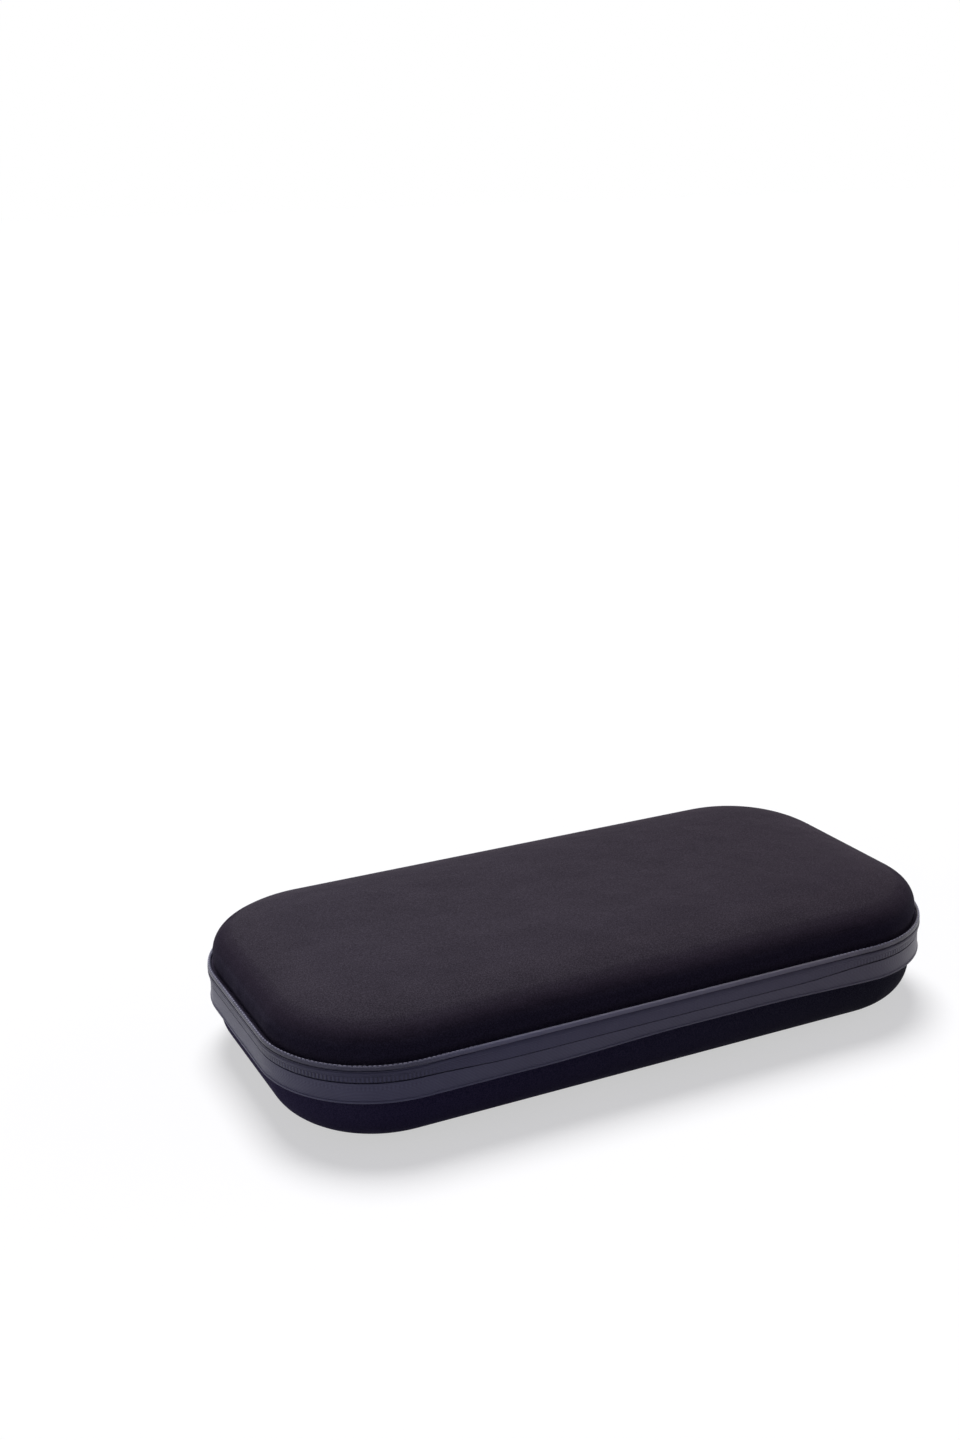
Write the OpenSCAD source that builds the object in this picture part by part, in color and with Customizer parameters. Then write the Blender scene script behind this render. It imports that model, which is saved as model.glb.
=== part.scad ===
// Zip-up hard case, moulded in two halves, that carries a stethoscope.
// X runs along the case, Y from front to hinge, Z up. The origin is the middle of the underside.

/* [Case outline] */
// Length over the zip band
case_len = 270; // [250:1:310]
// Width over the zip band
case_wid = 140; // [124:1:170]
// Radius of the band's corners, seen from above
corner_r = 44; // [40:1:50]
// Height of the zip line above the underside
base_h = 27.8; // [25:0.1:38]
// Height of the lid's top above the zip line
lid_h = 24.7; // [22.5:0.1:36]

/* [Shell layers] */
// Thickness of the outer cloth
cover_t = 0.8; // [0.6:0.1:1]
// Thickness of the foam core
core_t = 3.6; // [2.8:0.1:4.2]
// Thickness of the lining
lining_t = 0.6; // [0.4:0.1:0.8]

/* [Lid form] */
// How far the lid's wall stands back from the band
lid_step = 2.3; // [2.2:0.1:3.2]
// Lean of the lid's wall, in degrees
lid_draft = 2; // [0:0.5:5]
// Radius of the tight bend above the wall
shoulder_r = 8; // [7:0.5:10]
// Lean of the surface where the tight bend ends, in degrees
shoulder_turn = 57.5; // [50:0.5:62]
// Radius of the soft bend that follows it
brow_r = 43; // [34:1:50]
// Lean of the surface where the crown begins, in degrees
brow_turn = 80.3; // [78:0.1:84]

/* [Base form] */
// How far the base's wall stands back from the band
base_step = 3; // [2.6:0.1:3.8]
// Lean of the base's wall, in degrees
base_draft = 5.7; // [2:0.1:8]
// Radius of the bend below the wall
bilge_r = 14; // [12:0.5:16]
// Lean of the surface where that bend ends, in degrees
bilge_turn = 45; // [35:1:55]
// Radius of the bend that runs into the flat underside
keel_r = 19; // [16:0.5:21]

/* [Zip band] */
// Gap between the two halves of the zip
zip_gap = 0.8; // [0.7:0.1:1]
// Inset of the tape's outer face from the band's widest line
tape_in = 0.7; // [0.5:0.1:0.9]
// Thickness of the zip tape
tape_t = 0.8; // [0.6:0.1:1]
// Height of each half of the coil
coil_w = 2.5; // [2:0.1:2.6]
// Thickness of the coil
coil_t = 1.7; // [1.4:0.1:1.9]
// Height of the lid's rim above the zip line
rim_up = 4.6; // [4.5:0.1:5.2]
// Depth of the base's rim below the zip line
rim_down = 4.8; // [4.7:0.1:5.4]
// Thickness of the tape's sewn margin
margin_t = 0.6; // [0.4:0.1:0.7]
// Width of the tape's sewn margin
margin_w = 3.3; // [3.2:0.1:3.6]
// Thickness of the lid's flange
lid_flange_t = 0.8; // [0.6:0.1:1]
// Thickness of the base's flange
base_flange_t = 1.1; // [0.9:0.1:1.3]
// Height of the rolled lip
lip_h = 1.9; // [1.8:0.1:2.4]
// Thickness of the lower hem
hem_t = 0.8; // [0.6:0.1:1]
// Width of the lower hem
hem_w = 2.1; // [1.8:0.1:2.3]
// Thickness of the binding inside each rim
bind_t = 0.6; // [0.4:0.1:0.8]
// Height of the binding inside each rim
bind_h = 5; // [4:0.5:5.5]

/* [Hinge gusset] */
// Length of the cloth hinge
gusset_len = 120; // [80:1:130]
// Thickness of the cloth hinge
gusset_t = 0.7; // [0.5:0.1:0.7]
// Length of each end stop of the zip
stop_len = 3; // [2:0.1:4]

/* [Sliders] */
// Length of a slider
slider_len = 11.5; // [11:0.5:13]
// Width of a slider's outer plate at its nose
nose_w = 8.4; // [8:0.1:8.8]
// Width of a slider's outer plate at its tail
tail_w = 6.8; // [6.4:0.1:7.4]
// Thickness of a slider's plates
plate_t = 1.1; // [0.9:0.1:1.2]
// Clearance between a slider and the zip
slide_gap = 0.3; // [0.25:0.05:0.35]
// Width of the post that parts the coils
post_w = 0.5; // [0.4:0.05:0.55]
// Width of the bridge that holds the pull
bridge_w = 2.2; // [2:0.1:2.6]
// Thickness of the bridge
bridge_t = 1.2; // [1:0.1:1.4]

/* [Pulls] */
// Radius of the bar that turns in the bridge
bar_r = 0.75; // [0.6:0.05:0.85]
// Length of the window in the pull
window_len = 4.3; // [4.2:0.1:5]
// Width of each arm beside the window
arm_w = 1; // [0.8:0.1:1.3]
// Length of the pull, from its bar to the tip of the metal
pull_len = 22; // [18:1:24]
// Width of the pull's blade
blade_w = 4.6; // [4:0.1:5]
// Length of the soft grip
grip_len = 17; // [14:1:19]
// Width of the soft grip
grip_w = 7; // [6:0.1:7.4]
// Thickness of the soft grip
grip_t = 3.6; // [3:0.1:3.8]
// Length of the blade inside the grip
grip_bite = 13; // [10:1:14]

/* [Lid pocket] */
// Distance of the net's open edge in front of the case's middle
net_front = 18; // [10:1:30]
// Height of the net above the lid's rim
net_rise = 1; // [0.8:0.1:2]
// Thickness of the net
net_t = 0.7; // [0.5:0.1:1]
// Width of a strand of the net
strand_w = 1.1; // [0.8:0.1:1.6]
// Length of one mesh of the net
mesh_len = 15; // [14:1:20]
// Width of one mesh of the net
mesh_wid = 10; // [9:1:14]
// Width of the elastic along the net's open edge
elastic_w = 9; // [6:1:12]
// Thickness of that elastic
elastic_t = 1.6; // [1.2:0.1:2]

/* [Retaining band] */
// Depth of the band below the base's rim
band_drop = 1.2; // [1:0.1:4]
// Width of the elastic band across the base
band_w = 25; // [15:1:35]
// Thickness of that band
band_t = 1.2; // [0.8:0.1:1.6]

/* [Hidden] */

round_fn = 96;
bend_step = 9;
crown_steps = 3;
overlap = 1;

// Straight stretches between the corners
run_x = case_len - 2 * corner_r;
run_y = case_wid - 2 * corner_r;

// Heights of the band's pieces
top_z = base_h + lid_h;
half_gap = zip_gap / 2;
lid_rim_z = base_h + rim_up;
lid_flange_z = lid_rim_z + lid_flange_t;
base_rim_z = base_h - rim_down;
base_flange_z = base_rim_z - base_flange_t;
lip_top_z = lid_rim_z + lip_h;
tape_bottom_z = base_flange_z - cover_t;
coil_in = tape_in + tape_t;
flange_in = coil_in;

// The lid's outline, as arcs that follow each other without a kink
crown_start_in = lid_step + shoulder_r * (cos(lid_draft) - cos(shoulder_turn))
    + brow_r * (cos(shoulder_turn) - cos(brow_turn));
crown_r = (corner_r - crown_start_in) / cos(brow_turn);
shoulder_z = top_z - crown_r * (1 - sin(brow_turn)) - brow_r * (sin(brow_turn) - sin(shoulder_turn))
    - shoulder_r * (sin(shoulder_turn) - sin(lid_draft));

// The base's outline
bilge_z = keel_r * (1 - sin(bilge_turn)) + bilge_r * (sin(bilge_turn) - sin(base_draft));
bilge_in = base_step + (base_flange_z - bilge_z) * tan(base_draft);

// Depths, through the wall, of the layers' faces
core_face = cover_t;
lining_face = core_face + core_t;
inner_face = lining_face + lining_t;

// Insets of the lining's face at each rim
lid_inner_in = lid_wall_in(inner_face, lid_rim_z);
base_inner_in = base_wall_in(inner_face, base_rim_z);
lid_clear_in = lid_inner_in + bind_t;
base_clear_in = base_inner_in + bind_t;

// Sliders, measured outwards from the band's widest line
// and the play that lets a straight slider run round the band's corner
bend_play = pow(slider_len / 2, 2) / (2 * (corner_r - coil_in - coil_t));
wing_face = slide_gap - tape_in;
wing_top = wing_face + plate_t;
inner_wing_top = -(coil_in + coil_t) - slide_gap - bend_play;
inner_wing_face = inner_wing_top - plate_t;
flange_tip = -coil_in - slide_gap - bend_play;
coil_reach = half_gap + coil_w;
lip_reach = coil_reach + slide_gap;
rim_reach = min(rim_up, rim_down) - margin_t - slide_gap;
flange_w = 0.6;
inner_wing_w = 2 * min(rim_reach, lip_reach + flange_w);
bar_n = wing_top + slide_gap + bar_r;
bridge_under = bar_n + bar_r + slide_gap;
bridge_leg = 1.2;
bridge_start = 1.2;
bridge_half = window_len - slide_gap;
bar_y = bridge_start + bridge_half;
post_start = 0.8;
post_len = 2.8;
pull_t = 1.4;

// Meeting line of the sliders: the rear slider's middle is where the corner begins
meet_y = run_y / 2 - slider_len / 2 - slide_gap;
arm_in = bridge_w / 2 + slide_gap;
grip_start = pull_len - grip_bite;
tip_r = 2;

net_z = lid_rim_z + net_rise;
net_edge_in = lid_wall_in(inner_face, net_z + net_t + elastic_t) + bind_t;
band_z = base_rim_z - band_drop - band_t;

// Points of an arc, from lean a to lean b, up for the lid and down for the base
function bend(centre, r, a, b, up, steps) =
    [for (i = [0:steps]) let (g = a + (b - a) * i / steps) centre + r * [-cos(g), up * sin(g)]];
function steps_of(a, b) = max(1, round((b - a) / bend_step));
function reversed(points) = [for (i = [len(points) - 1:-1:0]) points[i]];

// Inset of each wall at a height, at a depth through the wall
function lid_wall_in(depth, z) = lid_step - (shoulder_z - z) * tan(lid_draft) + depth / cos(lid_draft);
function base_wall_in(depth, z) = base_step + (base_flange_z - z) * tan(base_draft) + depth / cos(base_draft);

// The lid's line at a depth through the wall, from height z_from up to the flat of the crown
function lid_line(depth, z_from) =
    let (
        c1 = [lid_step, shoulder_z] + shoulder_r * [cos(lid_draft), -sin(lid_draft)],
        c2 = c1 + (shoulder_r - brow_r) * [-cos(shoulder_turn), sin(shoulder_turn)],
        c3 = c2 + (brow_r - crown_r) * [-cos(brow_turn), sin(brow_turn)]
    )
    concat(
        [[lid_wall_in(depth, z_from), z_from]],
        bend(c1, shoulder_r - depth, lid_draft, shoulder_turn, 1, steps_of(lid_draft, shoulder_turn)),
        [for (i = [1:steps_of(shoulder_turn, brow_turn)])
            bend(c2, brow_r - depth, shoulder_turn, brow_turn, 1, steps_of(shoulder_turn, brow_turn))[i]],
        [for (i = [1:crown_steps - 1]) bend(c3, crown_r - depth, brow_turn, 90, 1, crown_steps)[i]],
        [[corner_r, top_z - depth]]
    );

// The base's line at a depth through the wall, from height z_from down to the flat underside
function base_line(depth, z_from) =
    let (
        c1 = [bilge_in, bilge_z] + bilge_r * [cos(base_draft), sin(base_draft)],
        c2 = c1 + (bilge_r - keel_r) * [-cos(bilge_turn), -sin(bilge_turn)]
    )
    concat(
        [[base_wall_in(depth, z_from), z_from]],
        bend(c1, bilge_r - depth, base_draft, bilge_turn, -1, steps_of(base_draft, bilge_turn)),
        [for (i = [1:steps_of(bilge_turn, 90)])
            bend(c2, keel_r - depth, bilge_turn, 90, -1, steps_of(bilge_turn, 90))[i]],
        [[corner_r, depth]]
    );

// Sweeps a profile, drawn from its corner's centre outwards, around the case
module around() {
    for (k = [0:3]) {
        centre_x = (k < 2 ? 1 : -1) * run_x / 2;
        centre_y = (k == 1 || k == 2 ? 1 : -1) * run_y / 2;
        translate([centre_x, centre_y, 0])
            rotate([0, 0, 90 * k - 90])
                rotate_extrude(angle = 90, $fn = round_fn)
                    children();
        rotate([0, 0, 90 * k])
            translate([0, -(k % 2 == 0 ? run_y : run_x) / 2, 0])
                rotate([90, 0, 90])
                    linear_extrude(height = k % 2 == 0 ? run_x : run_y, center = true)
                        mirror([1, 0])
                            children();
    }
}

// A profile from points given as inset and height
module profile(points) {
    polygon([for (p = points) [corner_r - p[0], p[1]]]);
}

// A rectangle of the profile, between two insets and two heights
module strip(in_from, in_to, z_from, z_to) {
    profile([[in_from, z_from], [in_to, z_from], [in_to, z_to], [in_from, z_to]]);
}

// One layer of the lid, between two depths, down to z_from
module lid_layer(depth_from, depth_to, z_from) {
    around()
        profile(concat(lid_line(depth_from, z_from), reversed(lid_line(depth_to, z_from))));
    translate([-run_x / 2, -run_y / 2, top_z - depth_to])
        cube([run_x, run_y, depth_to - depth_from]);
}

// One layer of the base, between two depths, up to z_from
module base_layer(depth_from, depth_to, z_from) {
    around()
        profile(concat(base_line(depth_from, z_from), reversed(base_line(depth_to, z_from))));
    translate([-run_x / 2, -run_y / 2, depth_from])
        cube([run_x, run_y, depth_to - depth_from]);
}

// The base's foam core, with the flange that the tape is sewn to
module base_core() {
    color("dimgray") {
        base_layer(core_face, lining_face, base_rim_z);
        around()
            strip(flange_in, base_wall_in(core_face + core_t / 2, base_rim_z), base_flange_z, base_rim_z);
    }
}

// The base's outer cloth, turned out under the flange
module base_cover() {
    color([0.09, 0.08, 0.12]) {
        base_layer(0, core_face, base_flange_z);
        around()
            strip(flange_in, base_wall_in(cover_t / 2, tape_bottom_z), tape_bottom_z, base_flange_z);
    }
}

module base_lining() {
    color([0.12, 0.12, 0.13])
        base_layer(lining_face, inner_face, base_rim_z);
}

// Cloth tape over the sewn edge inside the base's rim
module base_inner_binding() {
    color([0.1, 0.1, 0.11])
        around()
            profile([
                [coil_in + margin_w, base_rim_z], [base_inner_in, base_rim_z],
                [base_wall_in(inner_face, base_rim_z - bind_h), base_rim_z - bind_h],
                [base_wall_in(inner_face, base_rim_z - bind_h) + bind_t, base_rim_z - bind_h],
                [base_clear_in, base_rim_z], [base_clear_in, base_rim_z + margin_t],
                [coil_in + margin_w, base_rim_z + margin_t]
            ]);
}

// Half of the zip's tape below the zip line, with its sewn margin on the base's rim
module lower_zip_tape() {
    color([0.2, 0.19, 0.25])
        around() {
            profile([
                [tape_in, tape_bottom_z], [coil_in, tape_bottom_z], [coil_in, base_h - half_gap],
                [tape_in + tape_t / 2, base_h - half_gap], [tape_in, base_h - half_gap - tape_t / 2]
            ]);
            strip(coil_in - tape_t / 2, coil_in + margin_w, base_rim_z, base_rim_z + margin_t);
        }
}

// Profile of the coil, from its height z at the zip line, upwards or downwards, with round edges
module coil_profile(z, up) {
    round_in = 0.5;
    points = [
        [0, 0], [coil_t - round_in, 0], [coil_t, round_in], [coil_t, coil_w - round_in],
        [coil_t - round_in, coil_w], [0, coil_w]
    ];
    profile([for (p = points) [coil_in + p[0], z + up * p[1]]]);
}

// Leaves the stretch behind the gusset free of the coil
module behind_gusset(length) {
    translate([-length / 2, case_wid / 2 - 3 * coil_in, 0])
        cube([length, 3 * coil_in, top_z]);
}

module lower_zip_coil() {
    color([0.07, 0.07, 0.08])
        difference() {
            around()
                coil_profile(base_h - half_gap, -1);
            behind_gusset(gusset_len);
        }
}

// Narrow hem along the band's lower edge
module lower_hem() {
    edge = hem_t / 4;
    color([0.28, 0.27, 0.34])
        around()
            profile([
                [tape_in - edge, tape_bottom_z], [tape_in - edge, tape_bottom_z - hem_t + edge],
                [tape_in, tape_bottom_z - hem_t], [tape_in + hem_w, tape_bottom_z - hem_t],
                [tape_in + hem_w, tape_bottom_z]
            ]);
}

// Crimped stop at one end of a coil half
module end_stop(z_from) {
    translate([0, case_wid / 2 - coil_in - coil_t, z_from])
        cube([stop_len, coil_t, coil_w]);
}

module end_stops(z_from) {
    for (side = [0, 1])
        mirror([side, 0, 0])
            translate([gusset_len / 2 - stop_len, 0, 0])
                end_stop(z_from);
}

module lower_end_stops() {
    color("silver")
        end_stops(base_h - half_gap - coil_w);
}

module upper_end_stops() {
    color("silver")
        end_stops(base_h + half_gap);
}

// Elastic band across the base, sewn in at the front and the back
module retaining_band() {
    reach = case_wid / 2 - base_wall_in(inner_face, band_z) - bind_t;
    color([0.08, 0.08, 0.09])
        translate([-band_w / 2, -reach, band_z])
            cube([band_w, 2 * reach, band_t]);
}

// Cloth hinge along the back of the band
module hinge_gusset() {
    color([0.14, 0.13, 0.17])
        translate([-gusset_len / 2, case_wid / 2 - tape_in, tape_bottom_z])
            cube([gusset_len, gusset_t, lid_rim_z - tape_bottom_z]);
}

// The lid's foam core, with its flange
module lid_core() {
    color("dimgray") {
        lid_layer(core_face, lining_face, lid_rim_z);
        around()
            strip(flange_in, lid_wall_in(core_face + core_t / 2, lid_rim_z), lid_rim_z, lid_flange_z);
    }
}

module lid_cover() {
    color([0.22, 0.2, 0.24])
        lid_layer(0, core_face, lid_flange_z);
}

module lid_lining() {
    color([0.12, 0.12, 0.13])
        lid_layer(lining_face, inner_face, lid_rim_z);
}

// Cloth tape over the sewn edge inside the lid's rim
module lid_inner_binding() {
    color([0.1, 0.1, 0.11])
        around()
            profile([
                [coil_in + margin_w, lid_rim_z - margin_t], [lid_clear_in, lid_rim_z - margin_t],
                [lid_clear_in, lid_rim_z],
                [lid_wall_in(inner_face, lid_rim_z + bind_h) + bind_t, lid_rim_z + bind_h],
                [lid_wall_in(inner_face, lid_rim_z + bind_h), lid_rim_z + bind_h],
                [lid_inner_in, lid_rim_z], [coil_in + margin_w, lid_rim_z]
            ]);
}

// Half of the zip's tape above the zip line, with its sewn margin under the lid's rim
module upper_zip_tape() {
    color([0.17, 0.16, 0.21])
        around() {
            profile([
                [tape_in, lid_rim_z], [coil_in, lid_rim_z], [coil_in, base_h + half_gap],
                [tape_in + tape_t / 2, base_h + half_gap], [tape_in, base_h + half_gap + tape_t / 2]
            ]);
            strip(coil_in - tape_t / 2, coil_in + margin_w, lid_rim_z - margin_t, lid_rim_z);
        }
}

module upper_zip_coil() {
    color([0.07, 0.07, 0.08])
        difference() {
            around()
                coil_profile(base_h + half_gap, 1);
            behind_gusset(gusset_len);
        }
}

// Rolled lip that wraps the lid's flange
module upper_rolled_lip() {
    roll = flange_in / 3;
    color([0.33, 0.32, 0.39])
        around()
            profile([
                [roll / 2, lid_rim_z], [flange_in, lid_rim_z], [flange_in, lip_top_z - roll / 2],
                [flange_in - roll, lip_top_z], [roll, lip_top_z], [0, lip_top_z - roll],
                [0, lid_rim_z + roll]
            ]);
}

// Outline of the space inside the lid's rim, seen from above
module inside_rim(inset) {
    r = corner_r - inset;
    for (x = [-1, 1], y = [-1, 1])
        translate([x * run_x / 2, y * run_y / 2])
            circle(r, $fn = round_fn);
    square([case_len - 2 * inset, run_y], center = true);
    square([run_x, case_wid - 2 * inset], center = true);
}

// Whether a point lies inside the lid's rim by a margin
function in_net(p, inset) =
    let (
        far_x = abs(p[0]) - run_x / 2,
        far_y = abs(p[1]) - run_y / 2
    )
    p[1] > -net_front + elastic_w / 2 + mesh_wid / 2
    && (far_x < 0 ? far_y < corner_r - inset
        : far_y < 0 ? far_x < corner_r - inset
        : norm([far_x, far_y]) < corner_r - inset);

// Net across the lid's mouth, with diamond meshes in staggered rows
module pocket_net() {
    edge = mesh_len / 2 + strand_w;
    columns = ceil(case_len / mesh_len);
    rows = ceil(case_wid / mesh_wid);
    color([0.1, 0.1, 0.11])
        translate([0, 0, net_z])
            linear_extrude(net_t)
                difference() {
                    intersection() {
                        inside_rim(net_edge_in);
                        translate([-case_len / 2, -net_front])
                            square([case_len, case_wid]);
                    }
                    for (i = [-columns:columns], j = [-rows:rows]) {
                        p = [i * mesh_len / 2, j * mesh_wid / 2];
                        if ((i + j) % 2 == 0 && in_net(p, net_edge_in + edge))
                            translate(p)
                                polygon([
                                    [mesh_len / 2 - strand_w, 0], [0, mesh_wid / 2 - strand_w],
                                    [-mesh_len / 2 + strand_w, 0], [0, -mesh_wid / 2 + strand_w]
                                ]);
                    }
                }
}

// Elastic along the net's open edge
module pocket_elastic() {
    color([0.06, 0.06, 0.07])
        translate([0, 0, net_z + net_t])
            linear_extrude(elastic_t)
                intersection() {
                    inside_rim(net_edge_in);
                    translate([-case_len / 2, -net_front])
                        square([case_len, elastic_w]);
                }
}

// A slider's plate, seen from outside: nose at 0, tail at slider_len
module plate(nose, tail, thickness) {
    nip = 1.4;
    linear_extrude(thickness)
        polygon([
            [0, -nose / 2 + nip], [nip, -nose / 2], [slider_len / 2, -nose / 2 + nip / 4],
            [slider_len - nip, -tail / 2], [slider_len, -tail / 2 + nip], [slider_len, tail / 2 - nip],
            [slider_len - nip, tail / 2], [slider_len / 2, nose / 2 - nip / 4], [nip, nose / 2],
            [0, nose / 2 - nip]
        ]);
}

// Arch that holds the pull's bar
module bridge() {
    total = 2 * bridge_half;
    height = bridge_under + bridge_t - wing_top;
    nip = bridge_t;
    translate([bridge_start, bridge_w / 2, wing_top])
        rotate([90, 0, 0])
            linear_extrude(bridge_w)
                difference() {
                    polygon([
                        [0, -plate_t / 2], [total, -plate_t / 2], [total, height - nip],
                        [total - nip, height], [nip, height], [0, height - nip]
                    ]);
                    translate([bridge_leg, 0])
                        square([total - 2 * bridge_leg, bridge_under - wing_top]);
                }
}

// A slider in its own frame: X from nose to tail, Y towards the lid, Z outwards from the band's widest line.
// The inner plate's flange holds the base's half of the coil, and the lid's half lifts out of the channel.
module slider_body() {
    color([0.13, 0.13, 0.14]) {
        translate([0, 0, wing_face])
            plate(nose_w, tail_w, plate_t);
        difference() {
            translate([0, 0, inner_wing_face])
                plate(inner_wing_w, inner_wing_w, flange_tip - inner_wing_face);
            translate([-overlap, -lip_reach, inner_wing_top])
                cube([slider_len + 2 * overlap, lip_reach + inner_wing_w, coil_t + slide_gap]);
        }
        translate([post_start, -post_w / 2, inner_wing_top - plate_t / 2])
            cube([post_len, post_w, wing_face - inner_wing_top + plate_t]);
        bridge();
    }
}

// The pull's metal blade, with the window that the bridge passes through
module pull_blade() {
    half = arm_in + arm_w;
    shoulder = window_len + bar_r + arm_w;
    color([0.16, 0.16, 0.17]) {
        translate([bar_y, 0, bar_n])
            rotate([90, 0, 0])
                cylinder(h = 2 * half, r = bar_r, center = true, $fn = round_fn);
        difference() {
            translate([bar_y, 0, bar_n - pull_t / 2])
                linear_extrude(pull_t)
                    polygon([
                        [0, -half], [shoulder, -half], [shoulder + arm_w, -blade_w / 2],
                        [pull_len - tip_r, -blade_w / 2], [pull_len, -blade_w / 2 + tip_r],
                        [pull_len, blade_w / 2 - tip_r], [pull_len - tip_r, blade_w / 2],
                        [shoulder + arm_w, blade_w / 2], [shoulder, half], [0, half]
                    ]);
            translate([bar_y - overlap, -arm_in, bar_n - pull_t])
                cube([window_len + overlap, 2 * arm_in, 2 * pull_t]);
        }
    }
}

// Soft grip moulded around the blade
module pull_grip() {
    nip = grip_t / 4;
    far = grip_start + grip_len;
    color([0.07, 0.07, 0.08])
        difference() {
            intersection() {
                translate([bar_y, 0, bar_n - grip_t / 2])
                    linear_extrude(grip_t)
                        polygon([
                            [grip_start, -blade_w / 2 - nip], [grip_start + 2 * nip, -grip_w / 2],
                            [far - 2 * nip, -grip_w / 2], [far, -grip_w / 2 + 2 * nip],
                            [far, grip_w / 2 - 2 * nip], [far - 2 * nip, grip_w / 2],
                            [grip_start + 2 * nip, grip_w / 2], [grip_start, blade_w / 2 + nip]
                        ]);
                translate([bar_y, 0, bar_n])
                    rotate([90, 0, 90])
                        linear_extrude(far)
                            polygon([
                                [-grip_w / 2, -grip_t / 2 + nip], [-grip_w / 2 + nip, -grip_t / 2],
                                [grip_w / 2 - nip, -grip_t / 2], [grip_w / 2, -grip_t / 2 + nip],
                                [grip_w / 2, grip_t / 2 - nip], [grip_w / 2 - nip, grip_t / 2],
                                [-grip_w / 2 + nip, grip_t / 2], [-grip_w / 2, grip_t / 2 - nip]
                            ]);
            }
            translate([bar_y, 0, bar_n - pull_t / 2])
                linear_extrude(pull_t)
                    polygon([
                        [grip_start - overlap, -blade_w / 2], [pull_len - tip_r, -blade_w / 2],
                        [pull_len, -blade_w / 2 + tip_r], [pull_len, blade_w / 2 - tip_r],
                        [pull_len - tip_r, blade_w / 2], [grip_start - overlap, blade_w / 2]
                    ]);
        }
}

// Carries a slider's frame to the right end of the case: side -1 for the front slider, 1 for the rear one
module at_meeting(side) {
    translate([case_len / 2, meet_y + side * slide_gap, base_h])
        mirror([0, side > 0 ? 0 : 1, 0])
            rotate([0, 90, 0])
                rotate([0, 0, 90])
                    children();
}

module front_slider_body() {
    at_meeting(-1)
        slider_body();
}

module front_pull_blade() {
    at_meeting(-1)
        pull_blade();
}

module front_pull_grip() {
    at_meeting(-1)
        pull_grip();
}

module rear_slider_body() {
    at_meeting(1)
        slider_body();
}

module rear_pull_blade() {
    at_meeting(1)
        pull_blade();
}

module rear_pull_grip() {
    at_meeting(1)
        pull_grip();
}

base_core();
base_cover();
base_lining();
base_inner_binding();
lower_zip_tape();
lower_zip_coil();
lower_hem();
lower_end_stops();
retaining_band();
hinge_gusset();
lid_core();
lid_cover();
lid_lining();
lid_inner_binding();
upper_zip_tape();
upper_zip_coil();
upper_rolled_lip();
upper_end_stops();
pocket_net();
pocket_elastic();
front_slider_body();
front_pull_blade();
front_pull_grip();
rear_slider_body();
rear_pull_blade();
rear_pull_grip();
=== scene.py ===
"""Zip-up hard case for a stethoscope: a cloth-covered lid and tray of moulded foam, joined by a zip band."""
import math

import bpy
from mathutils import Matrix, Vector


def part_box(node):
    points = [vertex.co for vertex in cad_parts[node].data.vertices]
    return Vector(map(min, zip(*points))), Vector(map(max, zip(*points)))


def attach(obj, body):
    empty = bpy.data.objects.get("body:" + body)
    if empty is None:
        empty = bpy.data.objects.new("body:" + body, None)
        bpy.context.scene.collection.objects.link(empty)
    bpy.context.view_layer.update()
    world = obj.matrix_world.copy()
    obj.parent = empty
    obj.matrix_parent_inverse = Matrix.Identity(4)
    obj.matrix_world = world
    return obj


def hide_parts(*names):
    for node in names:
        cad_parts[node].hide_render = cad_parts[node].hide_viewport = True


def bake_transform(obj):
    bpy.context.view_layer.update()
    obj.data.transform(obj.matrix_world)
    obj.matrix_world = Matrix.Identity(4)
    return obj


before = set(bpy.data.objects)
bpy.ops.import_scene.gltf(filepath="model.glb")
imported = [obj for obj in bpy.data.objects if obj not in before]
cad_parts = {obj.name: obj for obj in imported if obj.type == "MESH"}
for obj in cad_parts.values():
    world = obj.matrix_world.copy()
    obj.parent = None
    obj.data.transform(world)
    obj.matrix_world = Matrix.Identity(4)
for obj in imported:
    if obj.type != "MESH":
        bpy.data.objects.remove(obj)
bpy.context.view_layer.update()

MM = 0.001

# Corners of the solids' boxes, from model.glb
LIP_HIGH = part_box("upper_rolled_lip")[1]
LOWER_TAPE_LOW, LOWER_TAPE_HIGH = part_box("lower_zip_tape")
LID_LOW, LID_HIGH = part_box("lid_cover")
HEM_LOW, HEM_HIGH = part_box("lower_hem")
GUSSET_LOW, GUSSET_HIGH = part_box("hinge_gusset")
NET_LOW, NET_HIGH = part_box("pocket_net")
ELASTIC_LOW, ELASTIC_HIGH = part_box("pocket_elastic")
STRAP_LOW, STRAP_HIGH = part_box("retaining_band")

# Outline of the band seen from above: four straight runs and four round corners
HALF_LEN = LIP_HIGH.x
HALF_WID = LIP_HIGH.y
CORNER_R = 44 * MM
RUN_X = HALF_LEN - CORNER_R
RUN_Y = HALF_WID - CORNER_R
CORNER_LEN = CORNER_R * math.pi / 2
CORNER_STEPS = 28
RUN_PIECE = 6 * MM

# Heights
TOP_Z = LID_HIGH.z
ZIP_Z = (LOWER_TAPE_HIGH.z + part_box("upper_zip_tape")[0].z) / 2
LID_RIM_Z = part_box("lid_core")[0].z
LID_FLANGE_Z = LID_LOW.z
LIP_TOP_Z = LIP_HIGH.z
BASE_RIM_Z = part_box("base_core")[1].z
TAPE_BOTTOM_Z = LOWER_TAPE_LOW.z

# Layers of each shell, from the outside inwards
COVER_T = 0.8 * MM
CORE_T = 3.6 * MM
LINING_T = 0.6 * MM
INNER = COVER_T + CORE_T + LINING_T
LAYER_GAP = 0.02 * MM

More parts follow.
